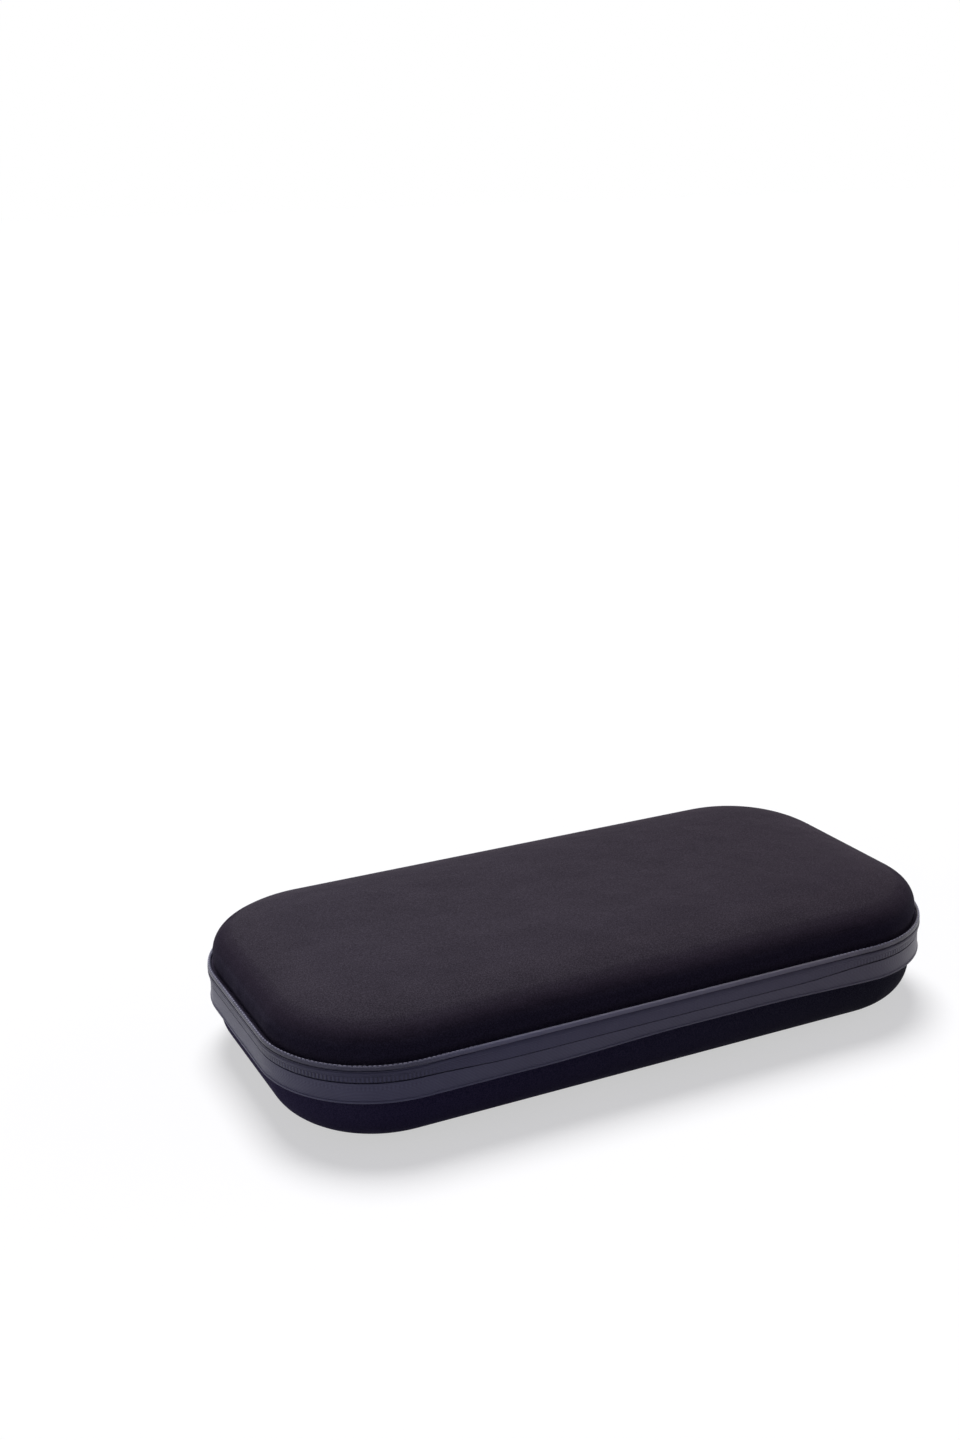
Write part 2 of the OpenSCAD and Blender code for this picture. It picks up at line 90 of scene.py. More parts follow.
# The zip's tapes: their inset, their sewn margins, half the gap that shows between them, and the coil behind
TAPE_IN = 0.7 * MM
TAPE_T = 0.8 * MM
MARGIN_T = 0.6 * MM
MARGIN_W = 3.3 * MM
SEEN_GAP = 0.26 * MM
COIL_IN = TAPE_IN + TAPE_T
MARGIN_IN = COIL_IN + MARGIN_W
COIL_PITCH = 1.45 * MM

# Camera, as measured against the photo's 960 by 1440 frame, with angles in degrees
PHOTO_W, PHOTO_H = 960, 1440
VIEW_TARGET = Vector((0, 0, 25 * MM))
TARGET_PIXEL = (570.15, 949.82)
FOCAL_PIXELS = 1738.0
VIEW_TURN = -27.893
VIEW_RISE = 24.887
VIEW_ROLL = -0.557
VIEW_DISTANCE = 679.7 * MM


def cosine(lean):
    """Cosine of an angle in degrees."""
    return math.cos(math.radians(lean))


def sine(lean):
    """Sine of an angle in degrees."""
    return math.sin(math.radians(lean))


def clamp(value):
    """A value held between 0 and 1."""
    return min(max(value, 0), 1)


def eased(share):
    """A share held between 0 and 1 that changes softly at both ends."""
    share = clamp(share)
    return share * share * (3 - 2 * share)


def select_only(piece):
    """Makes one piece the selected and active one."""
    bpy.ops.object.select_all(action="DESELECT")
    piece.select_set(True)
    bpy.context.view_layer.objects.active = piece


def edit_chosen(piece, kind, chosen):
    """Starts editing the active piece with only the chosen vertices or polygons selected."""
    bpy.ops.object.mode_set(mode="EDIT")
    bpy.ops.mesh.select_all(action="DESELECT")
    bpy.ops.object.mode_set(mode="OBJECT")
    for element in getattr(piece.data, kind):
        element.select = chosen(element)
    bpy.ops.object.mode_set(mode="EDIT")


def select_all():
    """Selects all of the piece that is being edited."""
    bpy.ops.mesh.select_all(action="SELECT")


def edit_all():
    """Starts editing the active piece with all of it selected."""
    bpy.ops.object.mode_set(mode="EDIT")
    select_all()


def leave_edit():
    """Goes back to object mode."""
    bpy.ops.object.mode_set(mode="OBJECT")


def start_piece(shape, name=None, scale=(1, 1, 1), **settings):
    """Adds one of Blender's plain shapes, names it, and puts its place, turn and size into its mesh."""
    bpy.ops.object.select_all(action="DESELECT")
    getattr(bpy.ops.mesh, f"primitive_{shape}_add")(**settings)
    piece = bpy.context.object
    piece.scale = scale
    if name:
        piece.name = piece.data.name = name
    apply_place(piece)
    return piece


def apply_place(piece):
    """Puts a piece's place, turn and size into its mesh."""
    select_only(piece)
    bpy.ops.object.transform_apply(location=True, rotation=True, scale=True)


def finish_with(piece, kind, **settings):
    """Adds one modifier and applies it."""
    select_only(piece)
    modifier = piece.modifiers.new(kind.title(), kind)
    for key, value in settings.items():
        setattr(modifier, key, value)
    bpy.ops.object.modifier_apply(modifier=modifier.name)


def add_to_scene(name, data):
    """A new object in the scene."""
    made = bpy.data.objects.new(name, data)
    bpy.context.scene.collection.objects.link(made)
    return made


def joined(name, pieces):
    """Joins pieces into one, under a name."""
    select_only(pieces[0])
    for piece in pieces:
        piece.select_set(True)
    if len(pieces) > 1:
        bpy.ops.object.join()
    piece = bpy.context.object
    piece.name = piece.data.name = name
    return piece


def smooth(piece, crisp=40):
    """Smooth shading, with the edges that are sharper than an angle in degrees left crisp."""
    select_only(piece)
    bpy.ops.object.shade_smooth_by_angle(angle=math.radians(crisp))


def dress(piece, body, finish, slot, *nodes, crisp=40):
    """Smooths a piece, gives it its material and body, and hides the CAD nodes that it stands for; its slot
    is not used.
    """
    smooth(piece, crisp)
    piece.data.materials.append(finish)
    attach(piece, body)
    if nodes:
        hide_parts(*nodes)


# Places along the band, counted from the middle of the front, to the right as positive
SIDES = (2 * RUN_X, CORNER_LEN, 2 * RUN_Y, CORNER_LEN) * 2
BAND_LEN = sum(SIDES)
BACK = BAND_LEN / 2


def corner_centre(quarter):
    """Centre of one of the case's corners, from the front right one round to the front left one."""
    return Vector(((1, 1, -1, -1)[quarter] * RUN_X, (-1, 1, 1, -1)[quarter] * RUN_Y, 0))


def side_at(along):
    """The stretch of the band that a distance falls in, and how far into it."""
    left = (along + RUN_X) % BAND_LEN
    for index, length in enumerate(SIDES):
        if left < length:
            return index, left
        left -= length
    return len(SIDES) - 1, SIDES[-1]


def on_band(along, inset=0.0, height=0.0):
    """A place at a distance along the band, and the band's turn there."""
    index, into = side_at(along)
    quarter = index // 2
    on_corner = index % 2
    turn = quarter * math.pi / 2 + (into / CORNER_R if on_corner else 0)
    outward = Vector((math.sin(turn), -math.cos(turn), 0))
    heading = Vector((math.cos(turn), math.sin(turn), 0))
    back = 0 if on_corner else SIDES[index] - into
    place = corner_centre(quarter) - heading * back + outward * (CORNER_R - inset) + Vector((0, 0, height))
    return place, turn


def band_place(point):
    """How far along the band a point lies, without its sign, and how far inside the outermost line."""
    over_x = abs(point.x) - RUN_X
    over_y = abs(point.y) - RUN_Y
    if over_x <= 0:
        along, out = abs(point.x), over_y
    elif over_y <= 0:
        along, out = RUN_X + CORNER_LEN - over_y, over_x
    else:
        along, out = RUN_X + CORNER_R * math.atan2(over_x, over_y), math.hypot(over_x, over_y)
    return (BACK - along if point.y > 0 else along), CORNER_R - out


def outward_at(point):
    """Which way is outwards at a point on the band, or no length at all inside it."""
    out = Vector((max(abs(point.x) - RUN_X, 0), max(abs(point.y) - RUN_Y, 0), 0)).normalized()
    return Vector((math.copysign(out.x, point.x), math.copysign(out.y, point.y), 0))


def dress_strip(piece, *dressing):
    """Lays a map in metres along and over a piece of the band, and dresses the piece."""
    mesh = piece.data
    layer = mesh.uv_layers.new(name="band")
    for face in mesh.polygons:
        side = -1 if face.center.x < 0 else 1
        over = -1 if face.normal.z < 0 else 1
        for corner in face.loop_indices:
            point = mesh.vertices[mesh.loops[corner].vertex_index].co
            along, inset = band_place(point)
            layer.data[corner].uv = (side * along, point.z + over * inset)
    dress(piece, *dressing)


def section(inset_from, inset_to, low, high, rounding, lean=0):
    """A rounded rectangle across the band at the middle of the front, leaning inwards at its top."""
    piece = start_piece(
        "plane", size=1, rotation=(0, math.pi / 2, 0), scale=(high - low, inset_to - inset_from, 1))
    edit_all()
    bpy.ops.mesh.bevel(offset=rounding, segments=4, affect="VERTICES")
    leave_edit()
    piece.rotation_euler.x = -math.radians(lean)
    piece.location = (0, (inset_from + inset_to) / 2 - CORNER_R, (low + high) / 2)
    apply_place(piece)
    return piece


def carried(name, sections, start=None, length=None):
    """Cross-sections carried along the band from a start, or all the way round."""
    piece = joined(name, [section(*values) for values in sections])
    closed = start is None
    if closed:
        start, length = BACK, BAND_LEN
    piece.location, piece.rotation_euler.z = on_band(start, inset=CORNER_R)
    apply_place(piece)
    edit_all()
    if closed:
        bpy.ops.mesh.delete(type="ONLY_FACE")
        select_all()
    index, into = side_at(start)
    while length > 0.001 * MM:
        part = min(SIDES[index] - into, length)
        if index % 2:
            bpy.ops.mesh.spin(
                steps=max(1, round(CORNER_STEPS * part / CORNER_LEN)), angle=-part / CORNER_R,
                center=corner_centre(index // 2), axis=(0, 0, 1))
        else:
            turn = index // 2 * math.pi / 2
            pieces = max(1, round(part / RUN_PIECE))
            for _ in range(pieces):
                bpy.ops.mesh.extrude_region_move(TRANSFORM_OT_translate={
                    "value": (math.cos(turn) * part / pieces, math.sin(turn) * part / pieces, 0)})
        length -= part
        index, into = (index + 1) % len(SIDES), 0
    select_all()
    bpy.ops.mesh.remove_doubles(threshold=0.01 * MM)
    bpy.ops.mesh.normals_make_consistent(inside=False)
    leave_edit()
    return piece


def moulded_shell(name, outline, thickness, up):
    """A dished sheet: a rounded outline inset step by step to its middle, then thickened inwards.

    The outline is (inset, height) pairs from the rim to the middle. up is 1 for the lid and -1 for the base.
    """
    inset, height = outline[0]
    piece = start_piece(
        "plane", name, size=1, location=(0, 0, height),
        scale=(2 * (HALF_LEN - inset), 2 * (HALF_WID - inset), 1))
    edit_all()
    bpy.ops.mesh.bevel(offset=CORNER_R - inset, segments=CORNER_STEPS, affect="VERTICES")
    select_all()
    if up < 0:
        bpy.ops.mesh.flip_normals()
    for next_inset, next_height in outline[1:]:
        bpy.ops.mesh.inset(
            thickness=max(next_inset - inset, 0.001 * MM), depth=up * (next_height - height),
            use_even_offset=True)
        inset, height = next_inset, next_height
    leave_edit()
    finish_with(piece, "SOLIDIFY", thickness=thickness, offset=-1, use_even_offset=True)
    return piece


def arcs_outline(centre, arcs, depth, up):
    """(inset, height) pairs along arcs that follow each other smoothly, at a depth through the wall.

    Each arc is its radius, the leans in degrees at its ends, and its number of steps.
    """
    points = []
    last_radius = arcs[0][0]
    for index, (radius, lean_from, lean_to, steps) in enumerate(arcs):
        shift = last_radius - radius
        centre = (centre[0] - shift * cosine(lean_from), centre[1] + up * shift * sine(lean_from))
        for step in range(min(index, 1), steps + 1):
            lean = lean_from + (lean_to - lean_from) * step / steps
            points.append((
                centre[0] - (radius - depth) * cosine(lean), centre[1] + up * (radius - depth) * sine(lean)))
        last_radius = radius
    return points


# The lid's outline: wall, tight bend, soft bend and crown, as arcs that follow each other
LID_STEP = 2.3 * MM
LID_DRAFT = 2
SHOULDER_R = 8 * MM
SHOULDER_TURN = 57.5
BROW_R = 43 * MM
BROW_TURN = 80.3
MIDDLE_INSET = CORNER_R - 0.4 * MM


def lid_outline(depth):
    """(inset, height) pairs of the lid's face at a depth through its wall, up to the crown."""
    crown_from = (LID_STEP + SHOULDER_R * (cosine(LID_DRAFT) - cosine(SHOULDER_TURN))
                  + BROW_R * (cosine(SHOULDER_TURN) - cosine(BROW_TURN)))
    crown_r = (CORNER_R - crown_from) / cosine(BROW_TURN)
    shoulder_z = (TOP_Z - crown_r * (1 - sine(BROW_TURN)) - BROW_R * (sine(BROW_TURN) - sine(SHOULDER_TURN))
                  - SHOULDER_R * (sine(SHOULDER_TURN) - sine(LID_DRAFT)))
    centre = (LID_STEP + SHOULDER_R * cosine(LID_DRAFT), shoulder_z - SHOULDER_R * sine(LID_DRAFT))
    points = arcs_outline(centre, (
        (SHOULDER_R, LID_DRAFT, SHOULDER_TURN, 10), (BROW_R, SHOULDER_TURN, BROW_TURN, 8),
        (crown_r, BROW_TURN, 90, 6)), depth, 1)
    return [point for point in points if point[0] < MIDDLE_INSET] + [(MIDDLE_INSET, TOP_Z - depth)]


def lid_wall(depth, height):
    """Inset of the lid's wall at a height."""
    inset, wall_end = lid_outline(depth)[0]
    return inset + (height - wall_end) * math.tan(math.radians(LID_DRAFT))


# The base's outline: wall, bend below it, and the bend that runs into the flat underside
BASE_STEP = 3 * MM
BASE_DRAFT = 5.7
BILGE_R = 14 * MM
BILGE_TURN = 45
KEEL_R = 19 * MM
BASE_FLANGE_Z = BASE_RIM_Z - 1.1 * MM


def base_outline(depth):
    """(inset, height) pairs of the base's face at a depth through its wall, down to the underside."""
    bilge_z = KEEL_R * (1 - sine(BILGE_TURN)) + BILGE_R * (sine(BILGE_TURN) - sine(BASE_DRAFT))
    bilge_in = BASE_STEP + (BASE_FLANGE_Z - bilge_z) * math.tan(math.radians(BASE_DRAFT))
    centre = (bilge_in + BILGE_R * cosine(BASE_DRAFT), bilge_z + BILGE_R * sine(BASE_DRAFT))
    points = arcs_outline(
        centre, ((BILGE_R, BASE_DRAFT, BILGE_TURN, 8), (KEEL_R, BILGE_TURN, 90, 8)), depth, -1)
    return points + [(MIDDLE_INSET, depth)]


def base_wall(depth, height):
    """Inset of the base's wall at a height."""
    inset, wall_end = base_outline(depth)[0]
    return inset - (height - wall_end) * math.tan(math.radians(BASE_DRAFT))


def colour(code):
    """An sRGB hex value as a linear colour with alpha."""
    parts = [int(code[i:i + 2], 16) / 255 for i in (1, 3, 5)]
    return [part / 12.92 if part <= 0.04045 else ((part + 0.055) / 1.055) ** 2.4 for part in parts] + [1]


def emptied(owner):
    """Empties a material's or world's node tree, and gives the function that adds nodes to it."""
    owner.use_nodes = True
    tree = owner.node_tree
    tree.nodes.clear()

    def node(kind, inputs=None, **settings):
        """Adds a shader node. An input is a value, a node for its first output, or a (node, output) pair."""
        made = tree.nodes.new("ShaderNode" + kind)
        for key, value in settings.items():
            setattr(made, key, value)
        for key, value in (inputs or {}).items():
            if isinstance(value, bpy.types.Node):
                value = (value, 0)
            if isinstance(value, tuple):
                tree.links.new(value[0].outputs[value[1]], made.inputs[key])
            else:
                made.inputs[key].default_value = value
        return made

    return node


def new_material(name):
    """An empty material, and the function that adds nodes to it."""
    material = bpy.data.materials.new(name)
    return material, emptied(material)


def painted_end_light(node, along, cloth, light_ends):
    """Painted light across the case: multiplies a cloth's colour by a tint that changes slowly from the left
    end to the right end.
    """
    share = node("MapRange", {"Value": along, "From Min": PAINTED_LIGHT_LEFT, "From Max": PAINTED_LIGHT_RIGHT})
    tone = node("Mix", {0: share, 6: [*light_ends[0], 1], 7: [*light_ends[1], 1]}, data_type="RGBA")
    return node("Mix", {0: 1.0, 6: cloth, 7: (tone, 2)}, data_type="RGBA", blend_type="MULTIPLY")


def brushed_jersey(name, dark, mid, light, grain=0.45 * MM, bend_shade=(), light_ends=((1, 1, 1), (1, 1, 1))):
    """Polyester jersey bonded to foam: a short nap in fine grains over slow changes of tone, with painted
    light that changes from the left end to the right and, where given, painted shade by height over the
    lid's bend.
    """
    material, node = new_material(name)
    place = (node("TexCoord"), "Object")
    nap = node("TexNoise", {"Vector": place, "Scale": 1 / grain, "Roughness": 0.6})
    knit = node("TexVoronoi", {"Vector": place, "Scale": 1 / (0.62 * MM), "Randomness": 0.8})
    cloud = node("TexNoise", {"Vector": place, "Scale": 1 / (26 * MM), "Detail": 3.0})
    grains = node("MapRange", {"Value": nap, "From Min": 0.36, "From Max": 0.64})
    tones = node("Mix", {0: 0.35, 2: grains, 3: cloud}, data_type="FLOAT")
    ramp = node("ValToRGB", {"Fac": tones})
    shades = ramp.color_ramp.elements
    for shade, code, position in ((shades[0], dark, 0.15), (shades[1], light, 0.9)):
        shade.color = colour(code)
        shade.position = position
    shades.new(0.5).color = colour(mid)
    apart = node("SeparateXYZ", {"Vector": place})
    # Painted light that changes from the left end to the right
    cloth = painted_end_light(node, (apart, "X"), ramp, light_ends)
    # Painted shade: the colour darkened and tinted by height over the lid's bend
    if bend_shade:
        low, high = bend_shade[0][0], bend_shade[-1][0]
        level = node("MapRange", {"Value": (apart, "Z"), "From Min": low, "From Max": high})
        painted_bend_shade = node("ValToRGB", {"Fac": level})
        painted_bend_shade.color_ramp.interpolation = "EASE"
        steps = painted_bend_shade.color_ramp.elements
        steps[0].color = (*bend_shade[0][1], 1)
        steps[1].color = (*bend_shade[-1][1], 1)
        for height, tint in bend_shade[1:-1]:
            steps.new((height - low) / (high - low)).color = (*tint, 1)
        cloth = node("Mix", {0: 1.0, 6: (cloth, 2), 7: painted_bend_shade}, data_type="RGBA", blend_type="MULTIPLY")
    swell = node("TexNoise", {"Vector": place, "Scale": 1 / (11 * MM), "Detail": 1.5, "Roughness": 0.45})
    waves = node("Bump", {"Height": swell, "Distance": 0.9 * MM})
    pile = node("Math", {0: nap, 1: knit}, operation="SUBTRACT")
    bump = node("Bump", {"Height": pile, "Strength": 0.55, "Distance": 0.08 * MM, "Normal": waves})
    shader = node("BsdfPrincipled", {
        "Base Color": (cloth, 2), "Roughness": 0.9, "Normal": bump, "Specular IOR Level": 0.05,
        "Sheen Weight": 0.01, "Sheen Roughness": 0.5})
    node("OutputMaterial", {"Surface": shader})
    return material


def woven_tape(name, dark, light, rib=0.55 * MM, weft=0.4 * MM, coil=(), coil_depth=0.0, coil_shade=0.0,
               roughness=0.62, gloss=0.3, painted_front_light=()):
    """Woven polyester tape: lengthwise ribs crossed by the weft, the coil pressing through as bars, and
    painted light that changes from the left end to the right.

    coil is the bars' lowest and highest edge; the last argument is painted highlight and shade: what the
    shade gains on the front and elsewhere.
    """
    material, node = new_material(name)
    place = node("UVMap", uv_map="band")
    apart = node("SeparateXYZ", {"Vector": place})

    def ribs(axis, pitch):
        turns = node("Math", {0: (apart, axis), 1: 2 * math.pi / pitch}, operation="MULTIPLY")
        return node("Math", {0: turns}, operation="SINE")

    cloth = node("Math", {0: ribs("X", weft), 1: 0.12, 2: ribs("Y", rib)}, operation="MULTIPLY_ADD")
    fuzz = node("TexNoise", {"Vector": place, "Scale": 1 / (0.5 * MM), "Detail": 3.0, "Roughness": 0.6})
    slow = node("TexNoise", {"Vector": place, "Scale": 1 / (14 * MM)})
    height = node("Math", {0: fuzz, 1: 0.9, 2: cloth}, operation="MULTIPLY_ADD")
    raised = node("MapRange", {"Value": height, "From Min": -1.1, "From Max": 2.0})
    shade = node("Mix", {0: 0.35, 2: raised, 3: slow}, data_type="FLOAT")
    away = node("Math", {0: (apart, "X")}, operation="ABSOLUTE")
    if coil:
        low, high = coil
        shown = ribs("X", COIL_PITCH)
        spots = node("TexNoise", {"Vector": place, "Scale": 1 / (30 * MM)})
        for kind, value, start, end, least, most in (
                ("SMOOTHSTEP", (apart, "Y"), low, low + 0.3 * MM, 0.0, 1.0),
                ("SMOOTHSTEP", (apart, "Y"), high - 0.4 * MM, high, 1.0, 0.0),
                ("SMOOTHSTEP", away, FRONT_FLAT_AND_HIGHLIGHT - 45 * MM, FRONT_FLAT_AND_HIGHLIGHT, 0.15, 1.0),
                ("LINEAR", spots, 0.42, 0.62, 0.1, 1.0)):
            part = node("MapRange", {
                "Value": value, "From Min": start, "From Max": end, "To Min": least, "To Max": most},
                interpolation_type=kind)
            shown = node("Math", {0: shown, 1: part}, operation="MULTIPLY")
        height = node("Math", {0: shown, 1: coil_depth, 2: height}, operation="MULTIPLY_ADD")
        shade = node("Math", {0: shown, 1: coil_shade, 2: shade}, operation="MULTIPLY_ADD")
    # Painted highlight along the front: the shade raised there by the first value, and by the second
    # elsewhere
    if painted_front_light:
        painted_front_shift = node("MapRange", {
            "Value": away, "From Min": FRONT_FLAT_AND_HIGHLIGHT - 50 * MM, "From Max": FRONT_FLAT_AND_HIGHLIGHT,
            "To Min": painted_front_light[0], "To Max": painted_front_light[1]}, interpolation_type="SMOOTHSTEP")
        shade = node("Math", {0: shade, 1: painted_front_shift}, operation="ADD")
    share = node("MapRange", {"Value": shade, "From Min": 0.2, "From Max": 0.8})
    tint = node("Mix", {0: share, 6: colour(dark), 7: colour(light)}, data_type="RGBA")
    # Painted light that changes from the left end to the right
    cloth = painted_end_light(node, (apart, "X"), (tint, 2), TAPE_PAINTED_LIGHT)
    bump = node("Bump", {"Height": height, "Strength": 0.6, "Distance": 0.05 * MM})
    shader = node("BsdfPrincipled", {
        "Base Color": (cloth, 2), "Roughness": roughness, "Normal": bump, "Specular IOR Level": gloss,
        "Specular Tint": colour("#ece8ff")})
    node("OutputMaterial", {"Surface": shader})
    return material


def fine_grained(name, dark, light, kind, pattern, relief, depth, roughness, gloss=0.5):
    """A plain finish: its tone and its low relief follow one fine pattern."""
    material, node = new_material(name)
    grain = node(kind, {"Vector": (node("TexCoord"), "Object"), **pattern})
    tint = node("Mix", {0: grain, 6: colour(dark), 7: colour(light)}, data_type="RGBA")
    bump = node("Bump", {"Height": grain, "Strength": relief, "Distance": depth})
    shader = node("BsdfPrincipled", {
        "Base Color": (tint, 2), "Roughness": roughness, "Normal": bump, "Specular IOR Level": gloss})
    node("OutputMaterial", {"Surface": shader})
    return material


def satin_metal(name, base, worn):
    """Satin metal, with its finish rubbed thin in small patches."""
    material, node = new_material(name)
    place = (node("TexCoord"), "Object")
    rub = node("TexNoise", {"Vector": place, "Scale": 1 / (2.5 * MM), "Detail": 6.0, "Roughness": 0.65})
    wear = node("MapRange", {"Value": rub, "From Min": 0.6, "From Max": 0.85})
    tint = node("Mix", {0: wear, 6: colour(base), 7: colour(worn)}, data_type="RGBA")
    fine = node("TexNoise", {"Vector": place, "Scale": 1 / (0.15 * MM), "Detail": 3.0})
    satin = node("MapRange", {"Value": fine, "To Min": 0.28, "To Max": 0.5})
    bump = node("Bump", {"Height": fine, "Strength": 0.15, "Distance": 0.02 * MM})
    shader = node("BsdfPrincipled", {
        "Base Color": (tint, 2), "Metallic": 1.0, "Roughness": satin, "Normal": bump})
    node("OutputMaterial", {"Surface": shader})
    return material


# Stretch of the case over which the painted light on the cloths changes
PAINTED_LIGHT_LEFT = -90 * MM
PAINTED_LIGHT_RIGHT = 110 * MM
# Painted light on the tapes: bluish at the left end, and paler and greyer at the right end as a painted
# reflection
TAPE_PAINTED_LIGHT = ((0.97, 1.0, 1.04), (1.2, 1.14, 0.93))
# Distance from the front's middle at which the tapes are no longer drawn flat, and at which the painted
# highlight along the front has faded
FRONT_FLAT_AND_HIGHLIGHT = 105 * MM
# Painted shade and light on the lid's cloth, as tints by mm below the top: dark over the bend and bluer down
# the wall, and a little lighter just below the crown
LID_PAINTED_SHADE = [(TOP_Z - drop * MM, tint) for drop, tint in (
    (19, (1, 1, 1.2)), (12.3, (0.9, 0.9, 1.1)), (10.2, (0.58, 0.53, 0.68)), (8.3, (0.54, 0.48, 0.6)),
    (6.9, (0.71, 0.67, 0.75)), (5.2, (1.05, 1.05, 1.04)), (2.5, (1.08, 1.08, 1.06)), (1, (1, 1, 1)))]
# Polyester jersey laminated to foam: no gloss, a fine nap and a plum cast, with painted shade over the bend
# and painted light that dims from the left end to the right
LID_JERSEY = brushed_jersey(
    "brushed_jersey_plum_grey", "#2f2b33", "#3a353e", "#46414b", bend_shade=LID_PAINTED_SHADE,
    light_ends=((0.92, 0.91, 0.91), (0.73, 0.68, 0.69)))
# The same cloth drawn bluer, as a painted shade tint where it lies in the band's shade and reads as night
# blue, with painted light that is brighter and bluer at the left end and dimmer and less blue at the right
BASE_JERSEY = brushed_jersey(
    "brushed_jersey_night_blue", "#333044", "#3f3b4e", "#4a465a",
    light_ends=((1.22, 1.15, 1.3), (0.79, 0.86, 0.63)))
# Lining jersey: thinner and coarser in the knit, so its grain shows larger
LINING_JERSEY = brushed_jersey(
    "brushed_jersey_lining_black", "#161618", "#202023", "#2e2e32", grain=0.6 * MM)
# Zip tape with a polyurethane film: a soft sheen, bars where the coil presses through at the ends,
# and a painted highlight along the front
UPPER_TAPE_CLOTH = woven_tape(
    "coated_zip_tape_upper", "#312f40", "#5c5a70", coil=(ZIP_Z + 0.3 * MM, ZIP_Z + 3 * MM), coil_depth=4.5,
    coil_shade=0.5, roughness=0.45, painted_front_light=(0.35, 0.0))
# The lower tape's film is thicker: smoother, paler, and the bars hardly show
LOWER_TAPE_CLOTH = woven_tape(
    "coated_zip_tape_lower", "#4f4d60", "#6b697d", coil=(ZIP_Z - 2.1 * MM, ZIP_Z - 0.2 * MM), coil_depth=0.9,
    coil_shade=0.16, roughness=0.42, gloss=0.35)
# The same film stretched round a cord: a painted highlight along the front, and painted shade at the corners
# and ends
LIP_CLOTH = woven_tape(
    "coated_rolled_edge", "#262433", "#88869a", rib=0.45 * MM, weft=0.45 * MM, roughness=0.38, gloss=0.4,
    painted_front_light=(0.4, -0.18))
# Folded hem of the lower tape: paler where the fold rubs
HEM_CLOTH = woven_tape(
    "coated_hem", "#4f4d62", "#6b697f", rib=0.4 * MM, weft=0.5 * MM, roughness=0.42, gloss=0.4)
# Grosgrain: matte black with bold ribs, drawn a little coarser than the real 0.7 mm so that they show
BINDING_CLOTH = woven_tape("grosgrain_binding", "#101012", "#2a2a2e", rib=0.9 * MM, weft=0.45 * MM)
# Plain-woven polyester without the film: duller than the tapes beside it
GUSSET_CLOTH = woven_tape(
    "woven_gusset_cloth", "#2a2834", "#454354", rib=0.6 * MM, weft=0.6 * MM, roughness=0.7)
# Knitted elastic: broad lengthwise ribs over rubber cores, with a dull dark face
ELASTIC_WEBBING = woven_tape(
    "knitted_elastic", "#0f0f11", "#2c2c30", rib=1.3 * MM, weft=0.5 * MM, roughness=0.75)
# Closed-cell EVA foam: its cut edge shows dull round cells
FOAM = fine_grained(
    "eva_foam_grey", "#2a2a2c", "#3d3d40", "TexVoronoi", {"Scale": 1 / (0.4 * MM)}, 0.5, 0.1 * MM, 0.9)
# Drawn yarn and thread: smooth, and a little uneven in tone along its length
YARN = ("TexNoise", {"Scale": 1 / (1.2 * MM)}, 0.2, 0.03 * MM)
# Extruded polyester filament: smooth, so each turn of the coil carries a small highlight
COIL_FILAMENT = fine_grained("polyester_coil_black", "#0c0c0e", "#1c1c20", *YARN, 0.35)
# Spun polyester thread: paler than the cloth and nearly matte, so that the stitches read as dots
THREAD = fine_grained("spun_thread_grey", "#85839a", "#b4b2c4", *YARN, 0.7)
# The same thread in black, which hardly stands out inside the case
DARK_THREAD = fine_grained("spun_thread_black", "#151517", "#2e2e32", *YARN, 0.7)
# Warp-knitted nylon yarn: dull and a little hairy
NET_YARN = fine_grained("knitted_net_yarn", "#101012", "#26262a", *YARN, 0.6)
# Die-cast zinc with a gun-metal plating: dark satin with paler rubbed patches
DARK_ZINC = satin_metal("zinc_dark_plated", "#45454b", "#8a8a90")
# Stamped aluminium, left bare and gone dull: a paler end to each coil
STOP_METAL = satin_metal("aluminium_stop", "#77777c", "#a2a2a6")
# Soft PVC from a spark-eroded mould: black with a dull, slightly broken shine
GRIP_PVC = fine_grained(
    "soft_pvc_black", "#141417", "#232328", "TexNoise",
    {"Scale": 1 / (0.18 * MM), "Detail": 4.0, "Roughness": 0.7}, 0.35, 0.04 * MM, 0.6, 0.25)


def pull_in(piece, start, full, end, by):
    """Pulls a shell's wall inwards: not at the start height, and fully from the full height to the end."""
    for vertex in piece.data.vertices:
        z = vertex.co.z
        if (end - z) * (full - start) > 0:
            vertex.co -= outward_at(vertex.co) * by * eased((z - start) / (full - start))


def on_front(point, middle, reach, fade):
    """1 on the front run near its middle, falling softly to 0 at a reach to both sides, and 0 elsewhere."""
    return eased((reach - abs(point.x - middle)) / fade) if point.y < 0 else 0


# Changes along the front: middle, reach to each side and length of the fade at both ends
SEAM_SPAN = (0, 95 * MM, 38 * MM)
HEM_SPAN = (25 * MM, 72 * MM, 55 * MM)
GROOVE_SPAN = (0, 98 * MM, 38 * MM)
SEAM_DROP = 1.5 * MM
SEAM_CLOSE = 0.24 * MM
HEM_RISE = 1.3 * MM


def seam_drop(point):
    """How far the line between the tapes hangs down along the front."""
    return SEAM_DROP * on_front(point, *SEAM_SPAN)


def hem_rise(point):
    """How far the hem and the base's cloth under it ride up to the right of the front's middle."""
    return HEM_RISE * on_front(point, *HEM_SPAN)


# Where the covers are drawn in beside the band, and by how much
LID_TUCK = 0.65 * MM
LID_TUCK_FROM_Z = LIP_TOP_Z + 2.4 * MM
BASE_TUCK = 0.4 * MM
BASE_TUCK_TOP_Z = HEM_LOW.z - 0.1 * MM
BASE_TUCK_FROM_Z = BASE_TUCK_TOP_Z - 5.5 * MM
